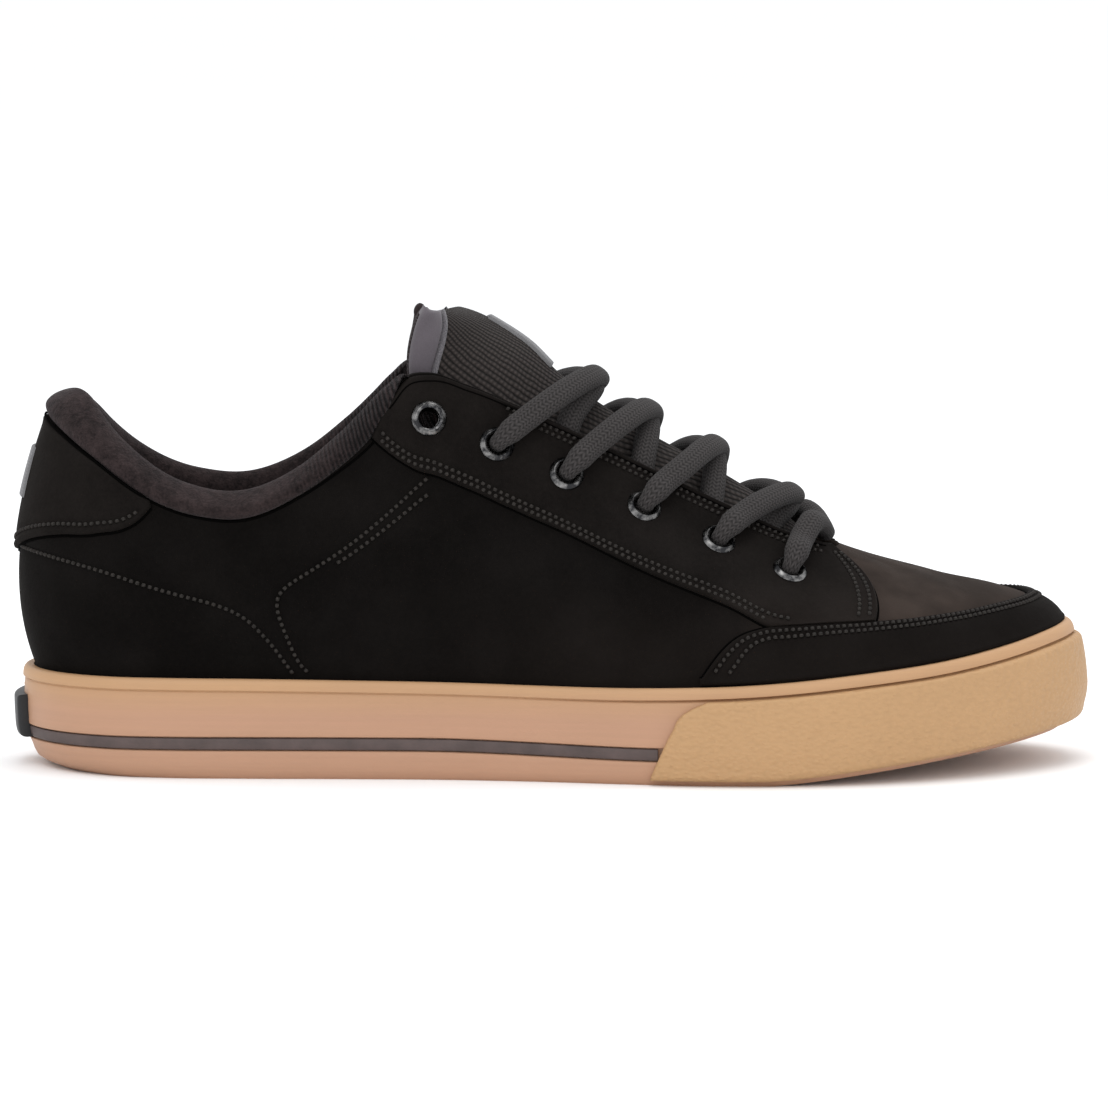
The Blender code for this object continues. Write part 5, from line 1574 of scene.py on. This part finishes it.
def make_collar_roll():
    """Padded plush roll round the ankle, with its lining."""
    half = PAD_ROWS[-1].turn / 2
    at = np.linspace(-half, half, 260)
    turn = np.abs(at) * 2
    names = ("rise", "medial_rise", "thick", "depth")
    rise, medial_rise, thick, depth = (follow(PAD_ROWS, "turn", name, turn) for name in names)
    rise = np.where(at < 0, medial_rise, rise) * PAD_RISE
    thick, depth = thick * PAD_THICK, depth * LINING_DEPTH
    low = roll_foot(turn)
    top = upper_point(at, 1.0)
    out = upper_normal(at, np.ones_like(at))
    up = unit(top - upper_point(at, 0.97))
    height = np.linalg.norm(top - upper_point(at, 0.0), axis=1)
    back = UPPER_WALL + GAP

    def over(e, n):
        return top + up * np.asarray(e)[..., None] + out * np.asarray(n)[..., None]

    def inside(share_down, n):
        return upper_layer(at, 1 - share_down * depth / height, -(back + n))

    zero = np.zeros_like(at)
    rows = [
        over(low, zero - ON_UPPER),
        over(low + 0.0007, zero + ON_PANEL),
        over(0.7 * low + 0.30 * rise, zero + LAYER + 0.0011),
        over(0.62 * rise, 0.10 * thick),
        over(0.90 * rise, -0.20 * thick),
        over(rise, -0.50 * thick),
        over(0.86 * rise, -0.80 * thick),
        over(0.45 * rise, -1.00 * thick),
        over(-0.2 * rise, -1.00 * thick),
        inside(0.45, zero + LINING_THICK),
        inside(0.90, zero + LINING_THICK * 0.8),
        inside(1.0, zero + GAP * 3),
        inside(0.9, zero),
        inside(0.45, zero),
        over(low, zero - back),
    ]
    control = np.stack(rows, 1)
    keys = np.arange(-3, len(rows) + 4)
    loop = control[:, keys % len(rows)]
    fine = np.linspace(0, len(rows), 84, endpoint=False)
    sections = spline(keys, loop.swapaxes(0, 1).reshape(len(keys), -1), fine)
    sections = sections.reshape(len(fine), len(at), 3).swapaxes(0, 1)
    ends = []
    for end, step in ((0, 1), (-1, -1)):
        middle = sections[end].mean(axis=0)
        ahead = unit(sections[end] - sections[end + step]) * 0.0016
        ends.append((middle, sections[end], ahead))
    rounded = [sections]
    for sign, (middle, section, ahead) in zip((-1, 1), ends):
        caps = []
        for f in (0.05, 0.15, 0.3, 0.5, 0.7, 0.85, 0.97):
            shrink = 1 - math.sqrt(1 - f**2)
            caps.append(section + (middle - section) * shrink + ahead * (f * 2.4))
        caps = np.stack(caps[::-1] if sign < 0 else caps)
        rounded = [caps, *rounded] if sign < 0 else [*rounded, caps]
    sections = np.concatenate(rounded)
    shape = Shape()
    run = flat_run(len(sections), sections.shape[1] + 1, 0.30, 0.05) + (0, 0.001)
    shape.grid(sections, around=True, run=run)
    shape.cap_ends(sections)
    piece = shape.make("collar_roll", [finish(plush_finish)], smooth=70, merge=MERGE)
    place_piece(piece, "textile", "collar_pad")


def tongue_seam(up):
    """How far across the tongue its padded edge begins."""
    shares = (0.70, 0.75, 0.80, 0.85, 0.90, 0.95, 1.0)
    return np.interp(up, shares, (0.97, 0.93, 0.83, 0.73, 0.65, 0.57, 0.47))


def tongue_grid():
    """Places on the tongue as share of its length and share across, closer together at its edges."""
    up = np.concatenate((np.linspace(0, 0.90, 96), 1 - 0.10 * (1 - np.linspace(0, 1, 44)[1:]) ** 1.5))
    half = 1 - (1 - np.linspace(0, 1, 60)) ** 1.25
    across = np.concatenate((-half[:0:-1], half))
    grid_up, grid_across = np.meshgrid(up, across, indexing="ij")
    drop = 0.3 * TONGUE_CORNER * soft_step(0.5, 1.0, np.abs(grid_across)) * soft_step(0.85, 1.0, grid_up)
    return grid_up, grid_across, grid_up - drop


def set_tongue(points, up, across):
    """Lifts the lateral corner of the tongue's top, drops the medial one and leans its sides back."""
    high = soft_step(0.80, 1.0, up)
    aside = soft_step(0.5, 1.0, np.abs(across))
    lean = np.clip((up - 0.90) / 0.10, -1, 1) * soft_step(0.70, 0.80, up)
    lift = TONGUE_LIFT * high * soft_step(0.1, 0.9, -across)
    lift = lift - TONGUE_DROP * TONGUE_LIFT * high * soft_step(0.1, 0.9, across)
    return points + np.stack((TONGUE_LEAN * lean * aside, np.zeros_like(lean), lift), -1)


def make_tongue_pad():
    """Thick padded tongue: ribbed mesh on its face, smooth lining beside it and plush behind."""
    grid_up, grid_across, dropped = tongue_grid()
    aside = np.abs(grid_across)
    face = tongue_point(dropped, grid_across)
    normal = tongue_normal(dropped, grid_across)
    thick = tongue_thickness(grid_up)
    from_top = (1 - grid_up) * TONGUE_LONG
    from_side = (1 - aside) * TONGUE_HALF
    near = np.clip(TONGUE_ROUND - np.minimum(from_top, TONGUE_ROUND), 0, None)
    beside = np.clip(TONGUE_ROUND - np.minimum(from_side, TONGUE_ROUND), 0, None)
    reach = np.minimum(np.hypot(near, beside) / TONGUE_ROUND, 1.0)
    half = 0.5 * np.sqrt(1 - reach**2)
    seam = tongue_seam(grid_up)
    high = soft_step(0.4, 0.6, grid_up)
    sewn = hump(aside - seam, 0.030) * high
    plump = np.sin(math.pi * np.clip((aside - seam) / (1.02 - seam), 0, 1)) * high
    middle = face - normal * (thick / 2)[..., None]
    swell = (0.0006 * plump - 0.0008 * sewn) * np.minimum(half * 2, 1)
    top = set_tongue(middle + normal * (thick * half + swell)[..., None], grid_up, grid_across)
    base = set_tongue(middle - normal * (thick * half)[..., None], grid_up, grid_across)

    def cell(values):
        return (values[:-1, :-1] + values[1:, 1:]) / 2

    smooth = (cell(aside) > cell(seam)) & (cell(grid_up) > LINED_FROM)
    slots = np.where((cell(aside) > 0.985) & (cell(grid_up) < 0.97), 2, smooth.astype(int))
    shape = Shape()
    run = np.stack((grid_up * TONGUE_LONG, TONGUE_HALF + grid_across * TONGUE_HALF), -1)
    shape.grid(top, run=run, slot=slots)
    shape.grid(base, slot=2)
    foot = np.stack((top[0], base[0]))
    shape.grid(foot, slot=2)
    finishes = [finish(ribbed_mesh_finish), finish(smooth_lining_finish), finish(plush_finish)]
    piece = shape.make("tongue_pad", finishes, smooth=75, merge=MERGE)
    place_piece(piece, "tongue_mesh", "tongue")


def make_tongue_tape():
    """Narrow tape over the tongue's seams."""
    shape = Shape()
    up = np.linspace(LINED_FROM, 0.985, 120)
    rising = ((-0.024, -0.0009), (-0.021, 0.0), (-0.012, 0.0003))
    offsets = (*rising, (0.0, 0.00035), *((-offset, lift) for offset, lift in reversed(rising)))
    for side in (-1, 1):
        middle = side * (tongue_seam(up) - 0.018)
        dropped = up - 0.3 * TONGUE_CORNER * soft_step(0.5, 1.0, np.abs(middle)) * soft_step(0.85, 1.0, up)
        rows = []
        for offset, lift in offsets:
            across = middle + offset
            taped = tongue_point(dropped, across) + tongue_normal(dropped, across) * lift
            rows.append(set_tongue(taped, up, across))
        shape.grid(np.stack(rows, 1), around=True)
    piece = shape.make("tongue_tape", [finish(tape_finish)], merge=MERGE)
    place_piece(piece, "textile")


def tape_finish():
    """Grey woven tape."""
    made = Finish("edge_tape", (0.09, 0.085, 0.09), 0.8, Sheen_Weight=0.2, Specular_IOR_Level=0.25)
    weave = made.noise(2600.0, 2.0, 0.5)
    made.paint(made.blend(weave.between(0.3, 0.7), (0.055, 0.051, 0.056), (0.15, 0.14, 0.15)))
    made.emboss(weave * 0.1)
    return made.material


def make_plain_label():
    """Plain woven label along the tongue's ridge."""
    places = dense_ends(40, *LABEL_UP, 0.04), dense_ends(30, -LABEL_FROM * LABEL_ACROSS, LABEL_ACROSS, 0.04)
    grid_up, grid_across = np.meshgrid(*places, indexing="ij")
    ground = tongue_point(grid_up, grid_across)
    normal = tongue_normal(grid_up, grid_across)
    lift = ON_UPPER + layer_height(edge_distance(ground), LABEL_THICK, 0.0005)
    top = ground + normal * lift[..., None]
    under = ground - normal * 0.0005
    shape = Shape()
    shape.slab(top, under, run=flat_run(*top.shape[:2], 0.034, 0.030))
    piece = shape.make("plain_label", [finish(patch_finish)], merge=MERGE)
    place_piece(piece, "patch_grey", "tongue_label")


def make_grommets():
    """Eyelets: a rolled flange on the eyestay, and a barrel through the wall, near-black inside as painted
    shade.
    """
    seat = ON_PANEL
    bore, flange = EYELET_BORE / 2, EYELET_FLANGE / 2
    profile = (
        (flange - 0.0004, seat - 0.0003),
        (flange, seat + 0.0002),
        (flange - 0.0002, seat + 0.0006),
        (flange - 0.0008, seat + 0.0010),
        (bore + 0.0011, seat + 0.0013),
        (bore + 0.0005, seat + 0.0012),
        (bore + 0.0001, seat + 0.0008),
        (bore, seat + 0.0002),
        (bore, -UPPER_WALL - 0.0004),
        (bore + 0.0004, -UPPER_WALL - 0.0007),
        (bore + 0.0007, -UPPER_WALL - 0.0002),
        (bore + 0.0003, -UPPER_WALL),
        (bore + 0.0003, seat - 0.0003),
    )
    for side, word in ((-1, "lateral"), (1, "medial")):
        for index in range(len(EYELETS)):
            centre, normal = eyelet_frame(index, side)
            rings = turned_ring(centre, normal, profile, 48)
            shape = Shape()
            # Painted shade: the bore and the lip rolled under the wall take the near-black seam shade finish,
            # so the hole reads dark.
            barrel = np.zeros(rings.shape[:2], int)
            barrel[:, 7:] = 1
            shape.grid(rings, around=True, along=True, slot=barrel)
            finishes = [finish(gunmetal_finish), finish(shade_finish)]
            piece = shape.make(f"grommet_{word}_{index + 1}", finishes, smooth=50)
            place_piece(piece, "gunmetal", f"eyelet_{word}_{index + 1}")


def lace_strand(index, side):
    """Points of one strand and which way its flat side faces, from inside an eyelet to under the next."""
    start, normal = eyelet_frame(index, side)
    last = len(EYELETS) - 1
    straight = index == last
    far = last if straight else index + 1
    end, far_normal = eyelet_frame(far, -side)
    thin = LACE_OVAL_THICK / 2
    seat = ON_PANEL
    skew, lead = (0.056, 0.056) if straight else (STRAND_LEADS[index - FIRST_LACED], 0.018)
    near_place = np.array(side_place(EYELETS[index].turn + skew, side))
    far_place = np.array(side_place(EYELETS[far].turn + lead, -side))
    near_edge, near_up = upper_point(near_place, 1.0), upper_normal(near_place, np.array(1.0))
    far_edge, far_up = upper_point(far_place, 1.0), upper_normal(far_place, np.array(1.0))
    lead_out, lead_in = unit(near_edge - start), unit(far_edge - end)
    stack = LACE_STACK if side < 0 and not straight else 0.0
    high = BAR_LIFT if straight else 0.0
    middle = crest_point(to_x(LACE_CRESTS[index - FIRST_LACED]))
    crest_up = crest_normal(middle)
    stops = [
        (start - normal * 0.0058 + lead_out * 0.0006, lead_out),
        (start - normal * 0.0010 + lead_out * 0.0006, lead_out),
        (start + normal * (seat + 0.0016) + lead_out * 0.0008, lead_out),
        (start + normal * (seat + 0.0034) + lead_out * 0.0044, normal),
        (start * 0.42 + near_edge * 0.58 + normal * (seat + thin + 0.0006), normal),
        (near_edge + near_up * (seat + thin + 0.0006 + high), near_up),
        (middle + crest_up * (thin + stack + 0.0008), crest_up),
    ]
    if straight:
        stops += [
            (far_edge + far_up * (seat + thin + 0.0006 + high), far_up),
            (end * 0.42 + far_edge * 0.58 + far_normal * (seat + thin + 0.0006), far_normal),
            (end + far_normal * (seat + 0.0034) + lead_in * 0.0044, far_normal),
            (end + far_normal * (seat + 0.0016) + lead_in * 0.0008, lead_in),
            (end - far_normal * 0.0010 + lead_in * 0.0006, lead_in),
        ]
    else:
        stops += [
            (far_edge - far_up * (UPPER_WALL + 0.45 * thin), far_up),
            (end * 0.5 + far_edge * 0.5 - far_normal * (UPPER_WALL + thin + 0.0004), far_normal),
        ]
    return stops


def lace_route():
    """The whole lace: from inside the top laced lateral eyelet down to the bar and up again."""
    last = len(EYELETS) - 1
    downward, upward = [], []
    for index in range(FIRST_LACED, last + 1):
        side = -1 if (index - FIRST_LACED) % 2 == 0 else 1
        downward += lace_strand(index, side)
        if index < last:
            upward += lace_strand(index, -side)
    return downward + upward[::-1]


def tube(stops, count, sides, narrow):
    """Oval tube along stops of (point, facing), with its runs along and round it."""
    route = np.array([stop[0] for stop in stops])
    facing = np.array([stop[1] for stop in stops])
    run = distances(route)
    at = np.linspace(0, run[-1], count)
    line = spline(run, route, at)
    ahead = unit(np.gradient(line, axis=0))
    target = np.stack([np.interp(at, run, facing[:, k]) for k in range(3)], 1)
    squeeze = np.interp(at, run, narrow)
    angles = 2 * math.pi * np.arange(sides) / sides
    wide_share = np.abs(np.cos(angles)) ** 0.85 * np.sign(np.cos(angles))
    thin_share = np.abs(np.sin(angles)) ** 0.9 * np.sign(np.sin(angles))
    up = unit(target[0] - ahead[0] * (target[0] @ ahead[0]))
    sections = []
    for point, forward, wish, size in zip(line, ahead, target, squeeze):
        up = unit(up - forward * (up @ forward))
        wish = wish - forward * (wish @ forward)
        if np.linalg.norm(wish) > 0.25:
            wish = unit(wish)
            wish = -wish if wish @ up < 0 else wish
            up = unit(up * 0.8 + wish * 0.2)
        aside = np.cross(forward, up)
        wide = LACE_OVAL_WIDTH / 2 * size
        thin = LACE_OVAL_THICK / 2 * (0.5 + 0.5 * size)
        sections.append(point + wide_share[:, None] * aside * wide + thin_share[:, None] * up * thin)
    around = math.pi * (LACE_OVAL_WIDTH + LACE_OVAL_THICK) / 2
    return np.array(sections), flat_run(count, sides + 1, run[-1], around)


def make_lace():
    """One lace through every laced eyelet."""
    stops = lace_route()
    centres = np.array([eyelet_frame(i, side)[0] for side in (-1, 1) for i in range(len(EYELETS))])
    route = np.array([stop[0] for stop in stops])
    gap = np.min(np.linalg.norm(route[:, None] - centres[None], axis=2), axis=1)
    narrow = LACE_SQUEEZE + (1 - LACE_SQUEEZE) * soft_step(0.0030, 0.0062, gap)
    sections, run = tube(stops, 1500, 26, narrow)
    shape = Shape()
    shape.grid(sections, around=True, run=run)
    shape.cap_ends(sections)
    piece = shape.make("lace", [finish(lace_finish)], smooth=60, merge=0.000001)
    place_piece(piece, "lace_cord", *(f"lace_crossing_{i}" for i in range(1, len(LACE_CRESTS))))


def crest_point(x):
    """Point of the tongue's ridge at a given x."""
    up = np.linspace(0, 1, 201)
    line = tongue_point(up, np.zeros_like(up))
    return np.array([np.interp(x, line[::-1, 0], line[::-1, axis]) for axis in range(3)])


def crest_normal(point):
    up = np.linspace(0, 1, 201)
    line = tongue_point(up, np.zeros_like(up))
    nearest = up[np.argmin(np.linalg.norm(line - point, axis=1))]
    return tongue_normal(np.array(nearest), np.array(0.0))


def add_cord(shape, line, up, radius):
    """Thin round cord along a line."""
    ahead = unit(np.gradient(line, axis=0))
    aside = unit(np.cross(ahead, up))
    angles = 2 * math.pi * np.arange(6) / 6
    rings = line[:, None] + radius * (
        np.cos(angles)[None, :, None] * aside[:, None] + np.sin(angles)[None, :, None] * up[:, None]
    )
    shape.grid(rings, around=True)
    shape.cap_ends(rings)


def make_seam_shades():
    """Near-black cords of painted shade in the depth of the seams: under the collar's roll and at the foot of
    each panel.
    """
    shape = Shape()

    def cord(at, rise, out, radius):
        add_cord(shape, skin_point(at, rise, out), upper_normal(at, rise), radius)

    turn = np.linspace(-PAD_ROWS[-1].turn, PAD_ROWS[-1].turn, 520)
    level = ON_PANEL * (1 - soft_step(SEWN_HEEL[-1].turn - 0.010, SEWN_HEEL[-1].turn, np.abs(turn)))
    cord(turn / 2, 1 + (roll_foot(np.abs(turn)) - 0.0006) / 0.055, level, 0.00036)
    turn = np.linspace(-SEWN_HEEL[-1].turn, SEWN_HEEL[-1].turn, 300)
    edge = heel_edge(turn)
    cord(turn / 2, edge - 0.0003 / 0.06, 0.0001, 0.00044)
    turns = np.linspace(TOE_EDGE[0].turn, 2 - TOE_EDGE[0].turn, 460)
    cord(turns / 2, np.maximum(toe_edge(turns), 0.03) + 0.0003 / 0.06, 0.0001, 0.00030)
    share = np.linspace(0, 1, 320)
    for side in (-1, 1):
        wide = np.maximum(stay_width(share, side), 0.006)
        at, rise = stay_place(share, -0.0003 / wide, side)
        bare = rise > toe_cover(at)
        cord(at[bare], rise[bare], 0.0001, 0.00030)
        inner = (share > 0.08) & (share < 0.97)
        cord(*stay_place(share[inner], 1 - (0.0019 / wide)[inner], side), ON_PANEL, 0.00024)
        across = np.linspace(0.0, 0.97, 80)
        at, rise = stay_place(np.ones_like(across), across, side)
        bare = rise > toe_cover(at)
        cord((at - side * 0.0007)[bare], rise[bare], 0.0001, 0.00030)
    piece = shape.make("seam_shades", [finish(shade_finish)], smooth=60)
    place_piece(piece, "lace_cord")


def make_stitching():
    """Every visible stitch, as a short bent thread."""
    length, thick = shoe().stitch_length, THREAD_THICK
    shape = Shape()
    s = np.array((-1.0, -0.7, 0.0, 0.7, 1.0))
    angles = 2 * math.pi * np.arange(6) / 6
    sides, steps = len(angles), len(s)
    faces = []
    for i in range(steps - 1):
        for j in range(sides):
            near, far, beside = i * sides, (i + 1) * sides, (j + 1) % sides
            faces.append((near + j, far + j, far + beside, near + beside))
    faces += [tuple(reversed(range(sides))), tuple((steps - 1) * sides + j for j in range(sides))]
    for line, normals in STITCH_ROWS:
        run = distances(line)
        count = max(int(run[-1] / STITCH_PITCH), 1)
        middles = (np.arange(count) + 0.5) * run[-1] / count
        for middle in middles:
            here = np.array([np.interp(middle + s * length / 2, run, line[:, k]) for k in range(3)]).T
            up = unit(np.array([np.interp(middle, run, normals[:, k]) for k in range(3)]))
            forward = unit(here[-1] - here[0])
            aside = np.cross(forward, up)
            lift = thick * (0.62 * (1 - s**4) - 0.52)
            radius = thick / 2 * np.sqrt(np.clip(1 - 0.75 * s**4, 0.2, 1))
            centre = here + up * lift[:, None]
            ringed = centre[:, None] + radius[:, None, None] * (
                np.cos(angles)[None, :, None] * aside * 1.25 + np.sin(angles)[None, :, None] * up
            )
            shape.add(ringed, faces)
    piece = shape.make("stitching", [finish(thread_finish)], smooth=60)
    place_piece(piece, "lace_cord")


def turned_towards(target, placed):
    """Rotation that turns a lamp or camera towards a point."""
    return (Vector(target) - placed.location).to_track_quat("-Z", "Y").to_euler()


def make_stage():
    """Pale floor, soft studio light and the camera at the photograph's angle."""
    mesh = bpy.data.meshes.new("floor")
    reach = 40.0
    corners = [(-reach, -reach, 0), (reach, -reach, 0), (reach, reach, 0), (-reach, reach, 0)]
    mesh.from_pydata(corners, [], [(0, 1, 2, 3)])
    mesh.materials.append(finish(floor_finish))
    floor = bpy.data.objects.new("floor", mesh)
    bpy.context.scene.collection.objects.link(floor)
    scene = bpy.context.scene
    world = bpy.data.worlds.new("studio")
    world.use_nodes = True
    background = world.node_tree.nodes["Background"]
    background.inputs["Color"].default_value = (0.985, 1.0, 1.02, 1)
    background.inputs["Strength"].default_value = 1.06
    scene.world = world
    scene.view_settings.view_transform = "Standard"
    lamps = (
        ("key", (-0.55, -1.30, 1.50), 1.1, 7.0),
        ("front", (0.70, -1.60, 0.70), 1.2, 3.0),
        ("top", (0.10, 0.25, 1.30), 0.9, 6.0),
    )
    for name, where, size, power in lamps:
        light = bpy.data.lights.new(name, "AREA")
        light.size = size
        light.energy = power
        lamp = bpy.data.objects.new(name, light)
        lamp.location = where
        lamp.rotation_euler = turned_towards((0, 0, 0.05), lamp)
        scene.collection.objects.link(lamp)
    lens = bpy.data.cameras.new("camera")
    lens.lens = CAMERA_LENS
    lens.sensor_width = 36.0
    lens.clip_end = 200.0
    camera = bpy.data.objects.new("camera", lens)
    camera.location = CAMERA_PLACE
    camera.rotation_euler = turned_towards(CAMERA_TARGET, camera)
    scene.collection.objects.link(camera)
    scene.camera = camera


class ShoeSettings(bpy.types.PropertyGroup):
    """Sizes and colours of the shoe that a user may change."""

    nubuck_colour: bpy.props.FloatVectorProperty(
        name="Nubuck",
        description="Colour of the upper's leather",
        subtype="COLOR",
        default=(0.0042, 0.0034, 0.0030),
    )
    lining_colour: bpy.props.FloatVectorProperty(
        name="Lining",
        description="Colour of the plush roll and lining",
        subtype="COLOR",
        default=(0.0175, 0.0140, 0.0140),
    )
    gum_colour: bpy.props.FloatVectorProperty(
        name="Gum sole",
        description="Colour of the cup sole",
        subtype="COLOR",
        default=(0.43, 0.255, 0.155),
    )
    bumper_colour: bpy.props.FloatVectorProperty(
        name="Toe bumper",
        description="Colour of the toe's bumper",
        subtype="COLOR",
        default=(0.468, 0.278, 0.132),
    )
    crease_depth: bpy.props.FloatProperty(
        name="Crease depth",
        description="Depth of the upper's soft troughs",
        default=0.0005,
        unit="LENGTH",
        subtype="DISTANCE",
    )
    stitch_length: bpy.props.FloatProperty(
        name="Stitch length",
        description="Length of each visible stitch",
        default=0.0012,
        unit="LENGTH",
        subtype="DISTANCE",
    )


class SHOE_OT_seams(bpy.types.Operator):
    """Settle the rows of stitches before the panels are made"""

    bl_idname = "shoe.seams"
    bl_label = "Lay out the seams"

    def execute(self, context):
        lay_out_seams()
        return {"FINISHED"}


class SHOE_OT_sole(bpy.types.Operator):
    """Make the gum cup sole with its stripe, toe bumper and heel plate"""

    bl_idname = "shoe.sole"
    bl_label = "Cup sole"

    def execute(self, context):
        make_cup_sole()
        make_stripe_band()
        make_bumper_band()
        make_tab_plate()
        return {"FINISHED"}


class SHOE_OT_footbed(bpy.types.Operator):
    """Make the footbed"""

    bl_idname = "shoe.footbed"
    bl_label = "Footbed"

    def execute(self, context):
        make_footbed()
        return {"FINISHED"}


class SHOE_OT_upper(bpy.types.Operator):
    """Make the hollow upper"""

    bl_idname = "shoe.upper"
    bl_label = "Upper"

    def execute(self, context):
        make_upper_shell()
        return {"FINISHED"}


class SHOE_OT_panels(bpy.types.Operator):
    """Make the eyestays, the toe and heel panels and the plain heel patch"""

    bl_idname = "shoe.panels"
    bl_label = "Panels"

    def execute(self, context):
        for side, word in ((-1, "lateral"), (1, "medial")):
            make_eyestay_panel(side, word)
        make_toe_panel()
        make_heel_panel()
        make_back_patch()
        return {"FINISHED"}


class SHOE_OT_collar(bpy.types.Operator):
    """Make the padded collar with its lining"""

    bl_idname = "shoe.collar"
    bl_label = "Collar"

    def execute(self, context):
        make_collar_roll()
        return {"FINISHED"}


class SHOE_OT_tongue(bpy.types.Operator):
    """Make the padded tongue, its tapes and its plain label"""

    bl_idname = "shoe.tongue"
    bl_label = "Tongue"

    def execute(self, context):
        make_tongue_pad()
        make_tongue_tape()
        make_plain_label()
        return {"FINISHED"}


class SHOE_OT_eyelets(bpy.types.Operator):
    """Make the metal eyelets"""

    bl_idname = "shoe.eyelets"
    bl_label = "Eyelets"

    def execute(self, context):
        make_grommets()
        return {"FINISHED"}


class SHOE_OT_lace(bpy.types.Operator):
    """Run the lace through the eyelets"""

    bl_idname = "shoe.lace"
    bl_label = "Lace"

    def execute(self, context):
        make_lace()
        return {"FINISHED"}


class SHOE_OT_stitching(bpy.types.Operator):
    """Sew the visible stitches and lay the near-black cords of painted shade deep in the seams"""

    bl_idname = "shoe.stitching"
    bl_label = "Stitching"

    def execute(self, context):
        make_seam_shades()
        make_stitching()
        return {"FINISHED"}


class SHOE_OT_stage(bpy.types.Operator):
    """Set the floor, the lights and the camera"""

    bl_idname = "shoe.stage"
    bl_label = "Stage"

    def execute(self, context):
        make_stage()
        return {"FINISHED"}


OPERATORS = (
    SHOE_OT_seams,
    SHOE_OT_sole,
    SHOE_OT_footbed,
    SHOE_OT_upper,
    SHOE_OT_panels,
    SHOE_OT_collar,
    SHOE_OT_tongue,
    SHOE_OT_eyelets,
    SHOE_OT_lace,
    SHOE_OT_stitching,
    SHOE_OT_stage,
)


class SHOE_PT_panel(bpy.types.Panel):
    """Buttons that make the shoe, in the order in which they are used"""

    bl_label = "Skateboarding shoe"
    bl_idname = "SHOE_PT_panel"
    bl_space_type = "VIEW_3D"
    bl_region_type = "UI"
    bl_category = "Shoe"

    def draw(self, context):
        for name in ShoeSettings.__annotations__:
            self.layout.prop(context.scene.shoe, name)
        for operator in OPERATORS:
            self.layout.operator(operator.bl_idname)


def register():
    bpy.utils.register_class(ShoeSettings)
    bpy.types.Scene.shoe = bpy.props.PointerProperty(type=ShoeSettings)
    for operator in OPERATORS:
        bpy.utils.register_class(operator)
    bpy.utils.register_class(SHOE_PT_panel)


def unregister():
    bpy.utils.unregister_class(SHOE_PT_panel)
    for operator in reversed(OPERATORS):
        bpy.utils.unregister_class(operator)
    del bpy.types.Scene.shoe
    bpy.utils.unregister_class(ShoeSettings)


def main():
    register()
    bpy.ops.shoe.seams()
    bpy.ops.shoe.sole()
    bpy.ops.shoe.footbed()
    bpy.ops.shoe.upper()
    bpy.ops.shoe.panels()
    bpy.ops.shoe.collar()
    bpy.ops.shoe.tongue()
    bpy.ops.shoe.eyelets()
    bpy.ops.shoe.lace()
    bpy.ops.shoe.stitching()
    bpy.ops.shoe.stage()


if __name__ == "__main__":
    main()
